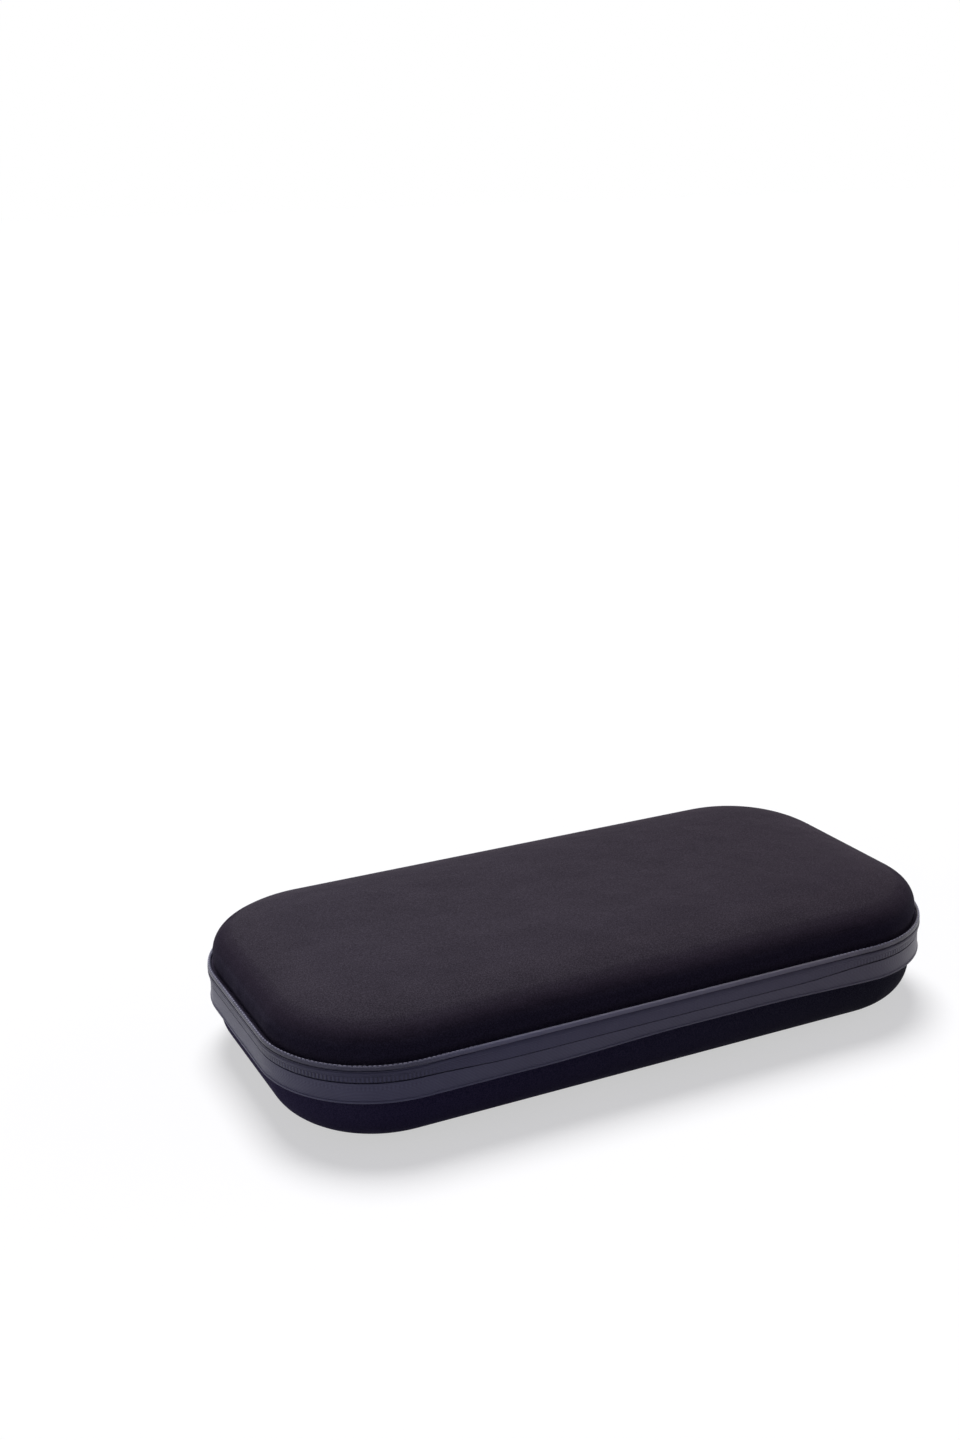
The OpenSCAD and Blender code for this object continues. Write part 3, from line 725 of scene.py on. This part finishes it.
# The cover's narrow flange runs into its wall in a small round: how far outside the wall and past the flange
LID_EDGE = ((0.35 * MM, 0), (0.08 * MM, 0.15 * MM))
BASE_EDGE = ((0.3 * MM, 0), (0.06 * MM, 0.15 * MM), (0, 0.5 * MM))
# Inset of the covers' flanges, just clear of the tapes' inner faces
COVER_IN = COIL_IN + LAYER_GAP
# Heights of a wall's rings, in mm from where it starts
LID_RINGS = (0.5, 0.9, 1.3, 1.7, 2.1, 2.5, 2.9, 3.3)
BASE_RINGS = (0.04, 0.1, 0.8, 1.6, 2.4, 3.2, 4, 4.8, 5.6)
# Play that keeps foam and lining off the tapes
RIM_PLAY = 0.01 * MM


def line_shell(body, rim, wall, outline, up):
    """The moulded foam of the lid or the base, and the lining on its inside."""
    def layer(name, depth, thickness):
        return moulded_shell(f"{body}_{name}", [(wall(depth, rim), rim)] + outline(depth), thickness, up)

    foam = layer("foam", COVER_T, CORE_T - LAYER_GAP)
    dress(foam, body, FOAM, "foam", f"{body}_core")
    lining = layer("lining_cloth", COVER_T + CORE_T, LINING_T)
    dress(lining, body, LINING_JERSEY, "lining_cloth", f"{body}_lining")


def make_lid():
    """The lid's cloth, foam and lining. The cloth is drawn in just above the lip, which shows dark."""
    rings = [LID_FLANGE_Z + rise * MM for rise in LID_RINGS]
    foot = lid_wall(0, rings[0])
    edge = [(foot - out, LID_FLANGE_Z + rise) for out, rise in LID_EDGE]
    wall = [(lid_wall(0, height), height) for height in rings]
    outline = [(COVER_IN, LID_FLANGE_Z)] + edge + wall + lid_outline(0)
    cloth = moulded_shell("lid_cloth", outline, COVER_T - LAYER_GAP, 1)
    pull_in(cloth, LID_TUCK_FROM_Z, LIP_TOP_Z, LID_FLANGE_Z + 0.05 * MM, LID_TUCK)
    dress(cloth, "lid", LID_JERSEY, "lid_cloth", "lid_cover")
    line_shell("lid", LID_RIM_Z + RIM_PLAY, lid_wall, lid_outline, 1)


def make_base():
    """The base's cloth, foam and lining. The cloth is drawn in a little just under the hem."""
    head = base_wall(0, TAPE_BOTTOM_Z - BASE_EDGE[-1][1])
    edge = [(head - out, TAPE_BOTTOM_Z - drop) for out, drop in BASE_EDGE]
    rings = [HEM_LOW.z - drop * MM for drop in BASE_RINGS]
    wall = [(base_wall(0, height), height) for height in rings if height > base_outline(0)[0][1]]
    outline = [(COVER_IN, TAPE_BOTTOM_Z)] + edge + wall + base_outline(0)
    cloth = moulded_shell("base_cloth", outline, COVER_T - LAYER_GAP, -1)
    pull_in(cloth, BASE_TUCK_FROM_Z, BASE_TUCK_TOP_Z, HEM_LOW.z - 0.07 * MM, BASE_TUCK)
    for vertex in cloth.data.vertices:
        share = clamp((vertex.co.z - BASE_TUCK_FROM_Z) / (BASE_TUCK_TOP_Z - BASE_TUCK_FROM_Z))
        vertex.co.z += share * hem_rise(vertex.co)
    dress(cloth, "base", BASE_JERSEY, "base_cloth", "base_cover")
    line_shell("base", BASE_RIM_Z - RIM_PLAY, base_wall, base_outline, -1)


# The upper tape's bulge, and the groove between it and the lip
FOLD_Z = LID_RIM_Z - 1.9 * MM
FOLD_OUT = 0.65 * MM
GROOVE_Z = LID_RIM_Z - 0.35 * MM
GROOVE_FADE = 22 * MM
GROOVE_IN = 1.5 * MM
GROOVE_REACH = 1.9 * MM
# The lip and the hem, with the leans in degrees of the lip and the lower tape
LIP_IN = 0.15 * MM
LIP_T = 1.1 * MM
LIP_LEAN = 7
LOWER_LEAN = 2
HEM_IN = 0.3 * MM
HEM_W = 2.5 * MM


def fill_groove(tape):
    """Closes the groove under the lip towards the left end, where the tape is drawn tight."""
    for vertex in tape.data.vertices:
        along, inset = band_place(vertex.co)
        if vertex.co.x < 0 and vertex.co.z > GROOVE_Z + 0.01 * MM and inset < TAPE_IN + 0.45 * MM:
            share = eased((along - RUN_X + GROOVE_FADE) / (2 * GROOVE_FADE))
            vertex.co += outward_at(vertex.co) * share * (inset - TAPE_IN + FOLD_OUT)


def make_upper_tape():
    """The upper tape: it bulges over the coil, folds in under the lip, and ends in a sewn margin."""
    foot_z = ZIP_Z + SEEN_GAP
    tape = carried("upper_tape", [
        (TAPE_IN - 0.1 * MM, COIL_IN, foot_z, FOLD_Z, 0.16 * MM),
        (TAPE_IN - FOLD_OUT, COIL_IN, FOLD_Z, GROOVE_Z, 0.6 * MM),
        (TAPE_IN + 0.3 * MM, COIL_IN, GROOVE_Z, LID_RIM_Z, 0.05 * MM),
        (COIL_IN - TAPE_T / 2, MARGIN_IN, LID_RIM_Z - MARGIN_T, LID_RIM_Z, 0.2 * MM)])
    fill_groove(tape)
    for vertex in tape.data.vertices:
        vertex.co.z -= max((FOLD_Z - vertex.co.z) / (FOLD_Z - foot_z), 0) * seam_drop(vertex.co)
        under_lip = clamp((vertex.co.z - LID_RIM_Z) / GROOVE_REACH + 1)
        short = GROOVE_IN - HALF_WID - vertex.co.y
        vertex.co.y += max(short, 0) * under_lip * on_front(vertex.co, *GROOVE_SPAN)
    dress_strip(tape, "lid", UPPER_TAPE_CLOTH, "upper_zip_cloth", "upper_zip_tape")


def make_lower_tape():
    """The lower tape: flat, leaning in at its top, with a sewn margin inside the base's rim."""
    head_z = ZIP_Z - SEEN_GAP
    tape = carried("lower_tape", [
        (TAPE_IN, COIL_IN, TAPE_BOTTOM_Z, head_z, 0.18 * MM, LOWER_LEAN),
        (COIL_IN - TAPE_T / 2, MARGIN_IN, BASE_RIM_Z, BASE_RIM_Z + MARGIN_T, 0.2 * MM)])
    for vertex in tape.data.vertices:
        share = (vertex.co.z - TAPE_BOTTOM_Z) / (head_z - TAPE_BOTTOM_Z)
        if abs(vertex.co.z - BASE_RIM_Z - MARGIN_T / 2) > MARGIN_T:
            drop = seam_drop(vertex.co) * (1 - SEAM_CLOSE / SEAM_DROP)
            vertex.co.z += (1 - share) * hem_rise(vertex.co) - share * drop
    dress_strip(tape, "base", LOWER_TAPE_CLOTH, "lower_zip_cloth", "lower_zip_tape")


def make_band():
    """The zip's tapes, the rolled lip and the hem."""
    make_upper_tape()
    make_lower_tape()
    lip = carried("rolled_lip", [(LIP_IN, LIP_IN + LIP_T, LID_RIM_Z, LIP_TOP_Z, 0.58 * MM, LIP_LEAN)])
    dress_strip(lip, "lid", LIP_CLOTH, "lip_cloth", "upper_rolled_lip")
    hem = carried("folded_hem", [(HEM_IN, HEM_IN + HEM_W, HEM_LOW.z, HEM_HIGH.z, 0.36 * MM)])
    for vertex in hem.data.vertices:
        vertex.co.z += hem_rise(vertex.co)
    dress_strip(hem, "base", HEM_CLOTH, "hem_cloth", "lower_hem")


BIND_T = 0.6 * MM
BIND_H = 5 * MM
BIND_ROUND = 0.25 * MM


def make_bindings():
    """Grosgrain binding folded over the sewn edge inside each rim."""
    for body, rim, up, wall_at, lean in (
            ("base", BASE_RIM_Z, -1, base_wall, -BASE_DRAFT), ("lid", LID_RIM_Z, 1, lid_wall, LID_DRAFT)):
        edge = rim - up * MARGIN_T
        low, high = sorted((edge, rim + up * BIND_H))
        wall = wall_at(INNER, (low + high) / 2)
        binding = carried(f"{body}_binding_tape", [
            (MARGIN_IN, wall + BIND_T, min(edge, rim), max(edge, rim), BIND_ROUND),
            (wall, wall + BIND_T, low, high, BIND_ROUND, lean)])
        dress_strip(binding, body, BINDING_CLOTH, "binding_tape", f"{body}_inner_binding")


COIL_T = 1.7 * MM
COIL_SPLIT = 0.06 * MM
COIL_PLAY = 0.07 * MM
COIL_TURN_STEPS = 12
FILAMENT_R = 0.26 * MM


def make_coil(name, body, low, high, shift, replaced):
    """One half of the zip: a filament wound into an oval helix between the end stops."""
    turns = math.floor(2 * (BACK - GUSSET_HIGH.x) / COIL_PITCH)
    across = COIL_T / 2 - FILAMENT_R - COIL_PLAY
    tall = (high - low) / 2 - FILAMENT_R - COIL_PLAY
    curve = bpy.data.curves.new(name, "CURVE")
    curve.dimensions = "3D"
    curve.bevel_depth = FILAMENT_R
    curve.bevel_resolution = 1
    curve.use_fill_caps = True
    spline = curve.splines.new("POLY")
    count = turns * COIL_TURN_STEPS
    spline.points.add(count)
    for index, point in enumerate(spline.points):
        lean = 2 * math.pi * index / COIL_TURN_STEPS
        along = (index / count - 0.5) * (turns - 1) * COIL_PITCH + shift
        inset = COIL_IN + COIL_T / 2 + across * math.cos(lean)
        place, _ = on_band(along, inset, (low + high) / 2 + tall * math.sin(lean))
        point.co = (*place, 1)
    select_only(add_to_scene(name, curve))
    bpy.ops.object.convert(target="MESH")
    coil = bpy.context.object
    dress(coil, body, COIL_FILAMENT, "zip_coil", replaced, crisp=60)


def make_coils():
    """The two halves of the zip's coil, their turns half a pitch apart where they meet."""
    low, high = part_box("lower_zip_coil")[0].z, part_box("upper_zip_coil")[1].z
    make_coil("lower_coil", "base", low, ZIP_Z - COIL_SPLIT, 0, "lower_zip_coil")
    make_coil("upper_coil", "lid", ZIP_Z + COIL_SPLIT, high, COIL_PITCH / 2, "upper_zip_coil")


def slab(name, low, high, rounding, cuts):
    """A strip between two corners: cut across each way so that it can bend, with soft edges."""
    middle = (low + high) / 2
    piece = start_piece("cube", name, size=1, location=middle, scale=high - low)
    finish_with(piece, "BEVEL", width=rounding, segments=3, limit_method="ANGLE")
    bpy.ops.object.mode_set(mode="EDIT")
    for axis, count in enumerate(cuts):
        normal = [float(axis == side) for side in range(3)]
        for index in range(1, count + 1):
            place = middle.copy()
            place[axis] = low[axis] + (high[axis] - low[axis]) * index / (count + 1)
            select_all()
            bpy.ops.mesh.bisect(plane_co=place, plane_no=normal)
    leave_edit()
    return piece


def lay_flat_map(piece, across):
    """UV map in metres on a strip that runs along X or Y: along it, and across it by the named axis."""
    mesh = piece.data
    layer = mesh.uv_layers.new(name="band")
    for loop in mesh.loops:
        point = mesh.vertices[loop.vertex_index].co
        flat = (point.y, point.x) if across == "x" else (point.x, getattr(point, across))
        layer.data[loop.index].uv = flat


def make_gusset():
    """The cloth hinge: a woven strip along the zip's line."""
    gusset = slab("hinge_cloth", GUSSET_LOW, GUSSET_HIGH, 0.25 * MM, (29, 0, 24))
    lay_flat_map(gusset, "z")
    smooth(gusset)
    gusset.data.materials.append(GUSSET_CLOTH)
    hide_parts("hinge_gusset")
    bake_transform(gusset)


NET_CELL_X = 4 * MM
NET_CELL_Y = 2.7 * MM
STRAND_T = 0.46 * MM
NET_HEM_W = 3.5 * MM
NET_HEM_OVER = 0.05 * MM


def make_net():
    """The lid's pocket: knitted net with diamond holes, its hem, and the elastic along its open edge."""
    edge_in = HALF_LEN - NET_HIGH.x
    length, width = NET_HIGH.x - NET_LOW.x, NET_HIGH.y - NET_LOW.y
    cells = math.ceil(length / NET_CELL_X + width / NET_CELL_Y)
    net = start_piece(
        "grid", "pocket_netting", x_subdivisions=cells, y_subdivisions=cells, size=cells,
        rotation=(0, 0, math.pi / 4))
    net.scale = (NET_CELL_X / math.sqrt(2), NET_CELL_Y / math.sqrt(2), 1)
    net.location = (NET_LOW + NET_HIGH) / 2
    apply_place(net)

    def outside(vertex):
        point = vertex.co
        beyond = abs(point.x) > NET_HIGH.x or point.y > NET_HIGH.y or point.y < ELASTIC_HIGH.y - MM
        return beyond or band_place(point)[1] < edge_in + STRAND_T

    edit_chosen(net, "vertices", outside)
    bpy.ops.mesh.delete(type="VERT")
    leave_edit()
    finish_with(net, "WIREFRAME", thickness=STRAND_T, use_even_offset=True)
    dress(net, "lid", NET_YARN, "net", "pocket_net", crisp=180)
    start = RUN_X + CORNER_LEN + RUN_Y + NET_LOW.y
    edge = (edge_in, edge_in + NET_HEM_W, NET_LOW.z - NET_HEM_OVER, NET_HIGH.z + NET_HEM_OVER, 0.3 * MM)
    hem = carried("pocket_net_hem", [edge], start, 2 * (BACK - start))
    dress_strip(hem, "lid", BINDING_CLOTH, "binding_tape")
    folded_low = Vector((ELASTIC_LOW.x, ELASTIC_LOW.y, NET_LOW.z))
    elastic = slab("pocket_edge_elastic", folded_low, ELASTIC_HIGH, 0.6 * MM, (63, 2, 0))
    lay_flat_map(elastic, "y")
    dress(elastic, "lid", ELASTIC_WEBBING, "elastic", "pocket_elastic")


STRAP_SAG = 0.5 * MM


def strap_sag(y):
    """How far the retaining strap hangs down at a place across the case."""
    return STRAP_SAG * (1 - (y / STRAP_HIGH.y) ** 2)


def make_strap():
    """The elastic strap that keeps what lies in the tray from moving."""
    strap = slab("retaining_strap", STRAP_LOW, STRAP_HIGH, 0.4 * MM, (4, 31, 0))
    lay_flat_map(strap, "x")
    for vertex in strap.data.vertices:
        vertex.co.z -= strap_sag(vertex.co.y)
    dress(strap, "base", ELASTIC_WEBBING, "elastic", "retaining_band")


STITCH_LEN = 1.15 * MM
STITCH_R = 0.2 * MM
STITCH_PITCH = 1.7 * MM
BINDING_PITCH = 2.6 * MM
ELASTIC_PITCH = 2.8 * MM
STRAP_PITCH = 2.4 * MM
# Distance from the front's middle within which the lip rolls over its seam and hides it
LIP_SUNK = 72 * MM


def make_stitch():
    """One stitch of sewing thread, along X, its ends drawn in where they enter the cloth."""
    thread = start_piece(
        "cylinder", vertices=6, radius=STITCH_R, depth=STITCH_LEN * 0.6, rotation=(0, math.pi / 2, 0))
    for side in (-1, 1):
        edit_chosen(thread, "polygons", lambda face: face.normal.x * side > 0.9)
        bpy.ops.mesh.select_mode(type="FACE")
        bpy.ops.mesh.extrude_region_move(
            TRANSFORM_OT_translate={"value": (side * STITCH_LEN * 0.2, 0, -STITCH_R * 0.8)})
        bpy.ops.transform.resize(value=(1, 0.6, 0.6))
        leave_edit()
    return thread


def sewn_row(thread, name, body, seats, finish, slot):
    """A row of stitches, one at each seat: its place, its heading and the way up from the cloth."""
    pieces = []
    for place, heading, up in seats:
        copy = add_to_scene(name, thread.data.copy())
        axes = Matrix((heading, up.cross(heading), up)).transposed()
        copy.data.transform(Matrix.Translation(place) @ axes.to_4x4())
        pieces.append(copy)
    dress(joined(name, pieces), body, finish, slot, crisp=180)


def band_seats(inset, height, up_out, up_z, start, end, pitch):
    """Seats along the band between two distances; the way up is given as outwards and upwards parts."""
    count = round((end - start) / pitch)
    seats = []
    for index in range(count):
        place, turn = on_band(start + (index + 0.5) * (end - start) / count, inset, height)
        up = Vector((math.sin(turn) * up_out, -math.cos(turn) * up_out, up_z)).normalized()
        seats.append((place, Vector((math.cos(turn), math.sin(turn), 0)), up))
    return seats


def line_seats(start, end, up, pitch):
    """Seats on a straight line between two places."""
    start, end = Vector(start), Vector(end)
    run = end - start
    count = max(1, round(run.length / pitch))
    return [(start + run * (index + 0.5) / count, run.normalized(), up) for index in range(count)]


def make_stitching():
    """Seams that show: on the rolled lip, inside both rims, round the cloth hinge and on the elastic."""
    thread = make_stitch()
    seats = []
    for start, end in ((-BACK, -LIP_SUNK), (LIP_SUNK, BACK)):
        seats += band_seats(LIP_IN + 0.45 * MM, LIP_TOP_Z - 0.04 * MM, 0.2, 1, start, end, STITCH_PITCH)
    sewn_row(thread, "lip_stitching", "lid", seats, THREAD, "lip_cloth")
    for body, wall, height in (
            ("base", base_wall(INNER, BASE_RIM_Z - 3 * MM), BASE_RIM_Z - 3.2 * MM),
            ("lid", lid_wall(INNER, LID_RIM_Z + 3 * MM), LID_RIM_Z + 3.4 * MM)):
        seats = band_seats(wall + BIND_T, height, -1, 0, -BACK, BACK, BINDING_PITCH)
        sewn_row(thread, f"{body}_binding_stitching", body, seats, DARK_THREAD, "binding_tape")
    back = Vector((0, 1, 0))
    left, right = GUSSET_LOW.x + 2 * MM, GUSSET_HIGH.x - 2 * MM
    face = GUSSET_HIGH.y
    for body, outer, inner in (
            ("base", GUSSET_LOW.z + 1.2 * MM, ZIP_Z - 2 * MM),
            ("lid", GUSSET_HIGH.z - 1.2 * MM, ZIP_Z + 2 * MM)):
        seats = line_seats((left, face, outer), (right, face, outer), back, STITCH_PITCH)
        for x in (left, right):
            seats += line_seats((x, face, outer), (x, face, inner), back, STITCH_PITCH)
        sewn_row(thread, f"hinge_cloth_stitching_{body}", body, seats, THREAD, "gusset_cloth")
    up = Vector((0, 0, 1))
    left, right = ELASTIC_LOW.x + 5 * MM, ELASTIC_HIGH.x - 5 * MM
    seats = []
    for y in (ELASTIC_LOW.y + 1.5 * MM, ELASTIC_HIGH.y - 1.5 * MM):
        seats += line_seats((left, y, NET_LOW.z), (right, y, NET_LOW.z), -up, ELASTIC_PITCH)
    sewn_row(thread, "pocket_elastic_stitching", "lid", seats, DARK_THREAD, "elastic")
    left, right = STRAP_LOW.x + 2 * MM, STRAP_HIGH.x - 2 * MM
    seats = []
    for end in (-1, 1):
        for from_end in (2 * MM, 8 * MM):
            y = end * (STRAP_HIGH.y - from_end)
            z = STRAP_HIGH.z - strap_sag(y)
            seats += line_seats((left, y, z), (right, y, z), up, STRAP_PITCH)
    sewn_row(thread, "retaining_strap_stitching", "base", seats, DARK_THREAD, "elastic")
    bpy.data.objects.remove(thread)


GRIP_SKIN = 0.22 * MM
GRIP_ROUND = 1.35 * MM
GRIP_WAIST = 0.1
RIB_COUNT = 5
RIB_W = 0.9 * MM
RIB_FROM_TIP = 3 * MM


def make_grip(name, body, node_name, blade_end):
    """Soft pull grip: a rounded tongue, waisted a little, with ribs across both faces."""
    low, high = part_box(node_name)
    middle, size = (low + high) / 2, high - low
    skin = Vector((GRIP_SKIN, 0, 0))
    tongue = slab(name, low + skin, high - skin, GRIP_ROUND, (0, 8, 0))
    for vertex in tongue.data.vertices:
        waist = 1 - GRIP_WAIST * math.cos((vertex.co.y - middle.y) / size.y * math.pi) ** 2
        vertex.co.z = middle.z + (vertex.co.z - middle.z) * waist
    pieces = [tongue]
    tip = low.y if blade_end > 0 else high.y
    for index in range(RIB_COUNT):
        y = tip + blade_end * (RIB_FROM_TIP + size.y / 2 * index / (RIB_COUNT - 1))
        rib = start_piece(
            "cube", size=1, location=(middle.x, y, middle.z), scale=(size.x, RIB_W, size.z * 0.55))
        finish_with(rib, "BEVEL", width=0.3 * MM, segments=2)
        pieces.append(rib)
    grip = joined(name, pieces)
    dress(grip, body, GRIP_PVC, "grip_rubber", node_name, crisp=50)


def make_fittings():
    """Metal for the sliders, blades and end stops, and the soft grips."""
    for node_name in (
            "front_slider_body", "rear_slider_body", "front_pull_blade", "rear_pull_blade",
            "lower_end_stops", "upper_end_stops"):
        for slot in bpy.data.objects[node_name].material_slots:
            slot.material = STOP_METAL if node_name.endswith("stops") else DARK_ZINC
    make_grip("front_grip", "front_pull", "front_pull_grip", 1)
    make_grip("rear_grip", "rear_pull", "rear_pull_grip", -1)


make_lid()
make_base()
make_band()
make_bindings()
make_coils()
make_gusset()
make_net()
make_strap()
make_stitching()
make_fittings()


def seen_or_lit(node, seen, lit):
    """One shader for what the camera and reflections see, another for what lights the object."""
    path = node("LightPath")
    shown = (path, "Is Camera Ray")
    for ray in ("Is Glossy Ray", "Is Transmission Ray"):
        shown = node("Math", {0: shown, 1: (path, ray)}, operation="MAXIMUM")
    return node("MixShader", {0: shown, 1: lit, 2: seen})


def white_floor():
    """Pale studio floor that shows white to the camera and keeps the shadow."""
    floor = start_piece("plane", "studio_floor", size=40, location=(0, 0, -0.05 * MM))
    material, node = new_material("matte_white_floor")
    paint = node("BsdfDiffuse", {"Color": colour("#b4b4b4")})
    glow = node("Emission", {"Strength": 0.56})
    seen = node("AddShader", {0: paint, 1: glow})
    lit = node("BsdfDiffuse", {"Color": colour("#56556a")})
    node("OutputMaterial", {"Surface": seen_or_lit(node, seen, lit)})
    floor.data.materials.append(material)


# A wide soft light from above and behind, and a weak low fill at each end
# Each light has its name, strength, spread in degrees and the direction that it comes from
LIGHTS = (
    ("overhead_soft_light", 2.95, 30, (0.12, 0.42, 1)),
    ("left_fill", 0.45, 60, (-1, -0.15, 0.06)),
    ("right_fill", 0.45, 60, (1, -0.15, 0.06)))


def studio_light():
    """Lights up the studio: the lights, and a dim surround that shows white."""
    for name, energy, spread, source in LIGHTS:
        data = bpy.data.lights.new(name, "SUN")
        data.energy = energy
        data.angle = math.radians(spread)
        add_to_scene(name, data).rotation_euler = Vector(source).to_track_quat("Z", "Y").to_euler()
    world = bpy.data.worlds.new("pale_surround")
    bpy.context.scene.world = world
    node = emptied(world)
    seen = node("Background", {"Color": colour("#ffffff")})
    lit = node("Background", {"Color": colour("#cec8fa"), "Strength": 0.12})
    node("OutputWorld", {"Surface": seen_or_lit(node, seen, lit)})


def photo_camera():
    """Camera at the photo's angle: the target falls on its measured pixel by a turn, with no shift."""
    level = Vector((cosine(VIEW_TURN), sine(VIEW_TURN), 0))
    back = Vector((level.y * cosine(VIEW_RISE), -level.x * cosine(VIEW_RISE), sine(VIEW_RISE)))
    upright = back.cross(level)
    right = cosine(VIEW_ROLL) * level + sine(VIEW_ROLL) * upright
    up = cosine(VIEW_ROLL) * upright - sine(VIEW_ROLL) * level
    seen = Vector((TARGET_PIXEL[0] - PHOTO_W / 2, PHOTO_H / 2 - TARGET_PIXEL[1], -FOCAL_PIXELS)).normalized()
    off = Vector((0, 0, -1)).rotation_difference(seen).to_matrix()
    turned = off @ Matrix((right, up, back))
    data = bpy.data.cameras.new("photo_camera")
    data.sensor_width = 36
    data.lens = FOCAL_PIXELS * data.sensor_width / PHOTO_H
    data.clip_start = 0.01
    camera = add_to_scene("photo_camera", data)
    place = VIEW_TARGET + back * VIEW_DISTANCE
    camera.matrix_world = Matrix.Translation(place) @ turned.transposed().to_4x4()
    bpy.context.scene.camera = camera


white_floor()
studio_light()
photo_camera()
bpy.context.scene.view_settings.view_transform = "Standard"
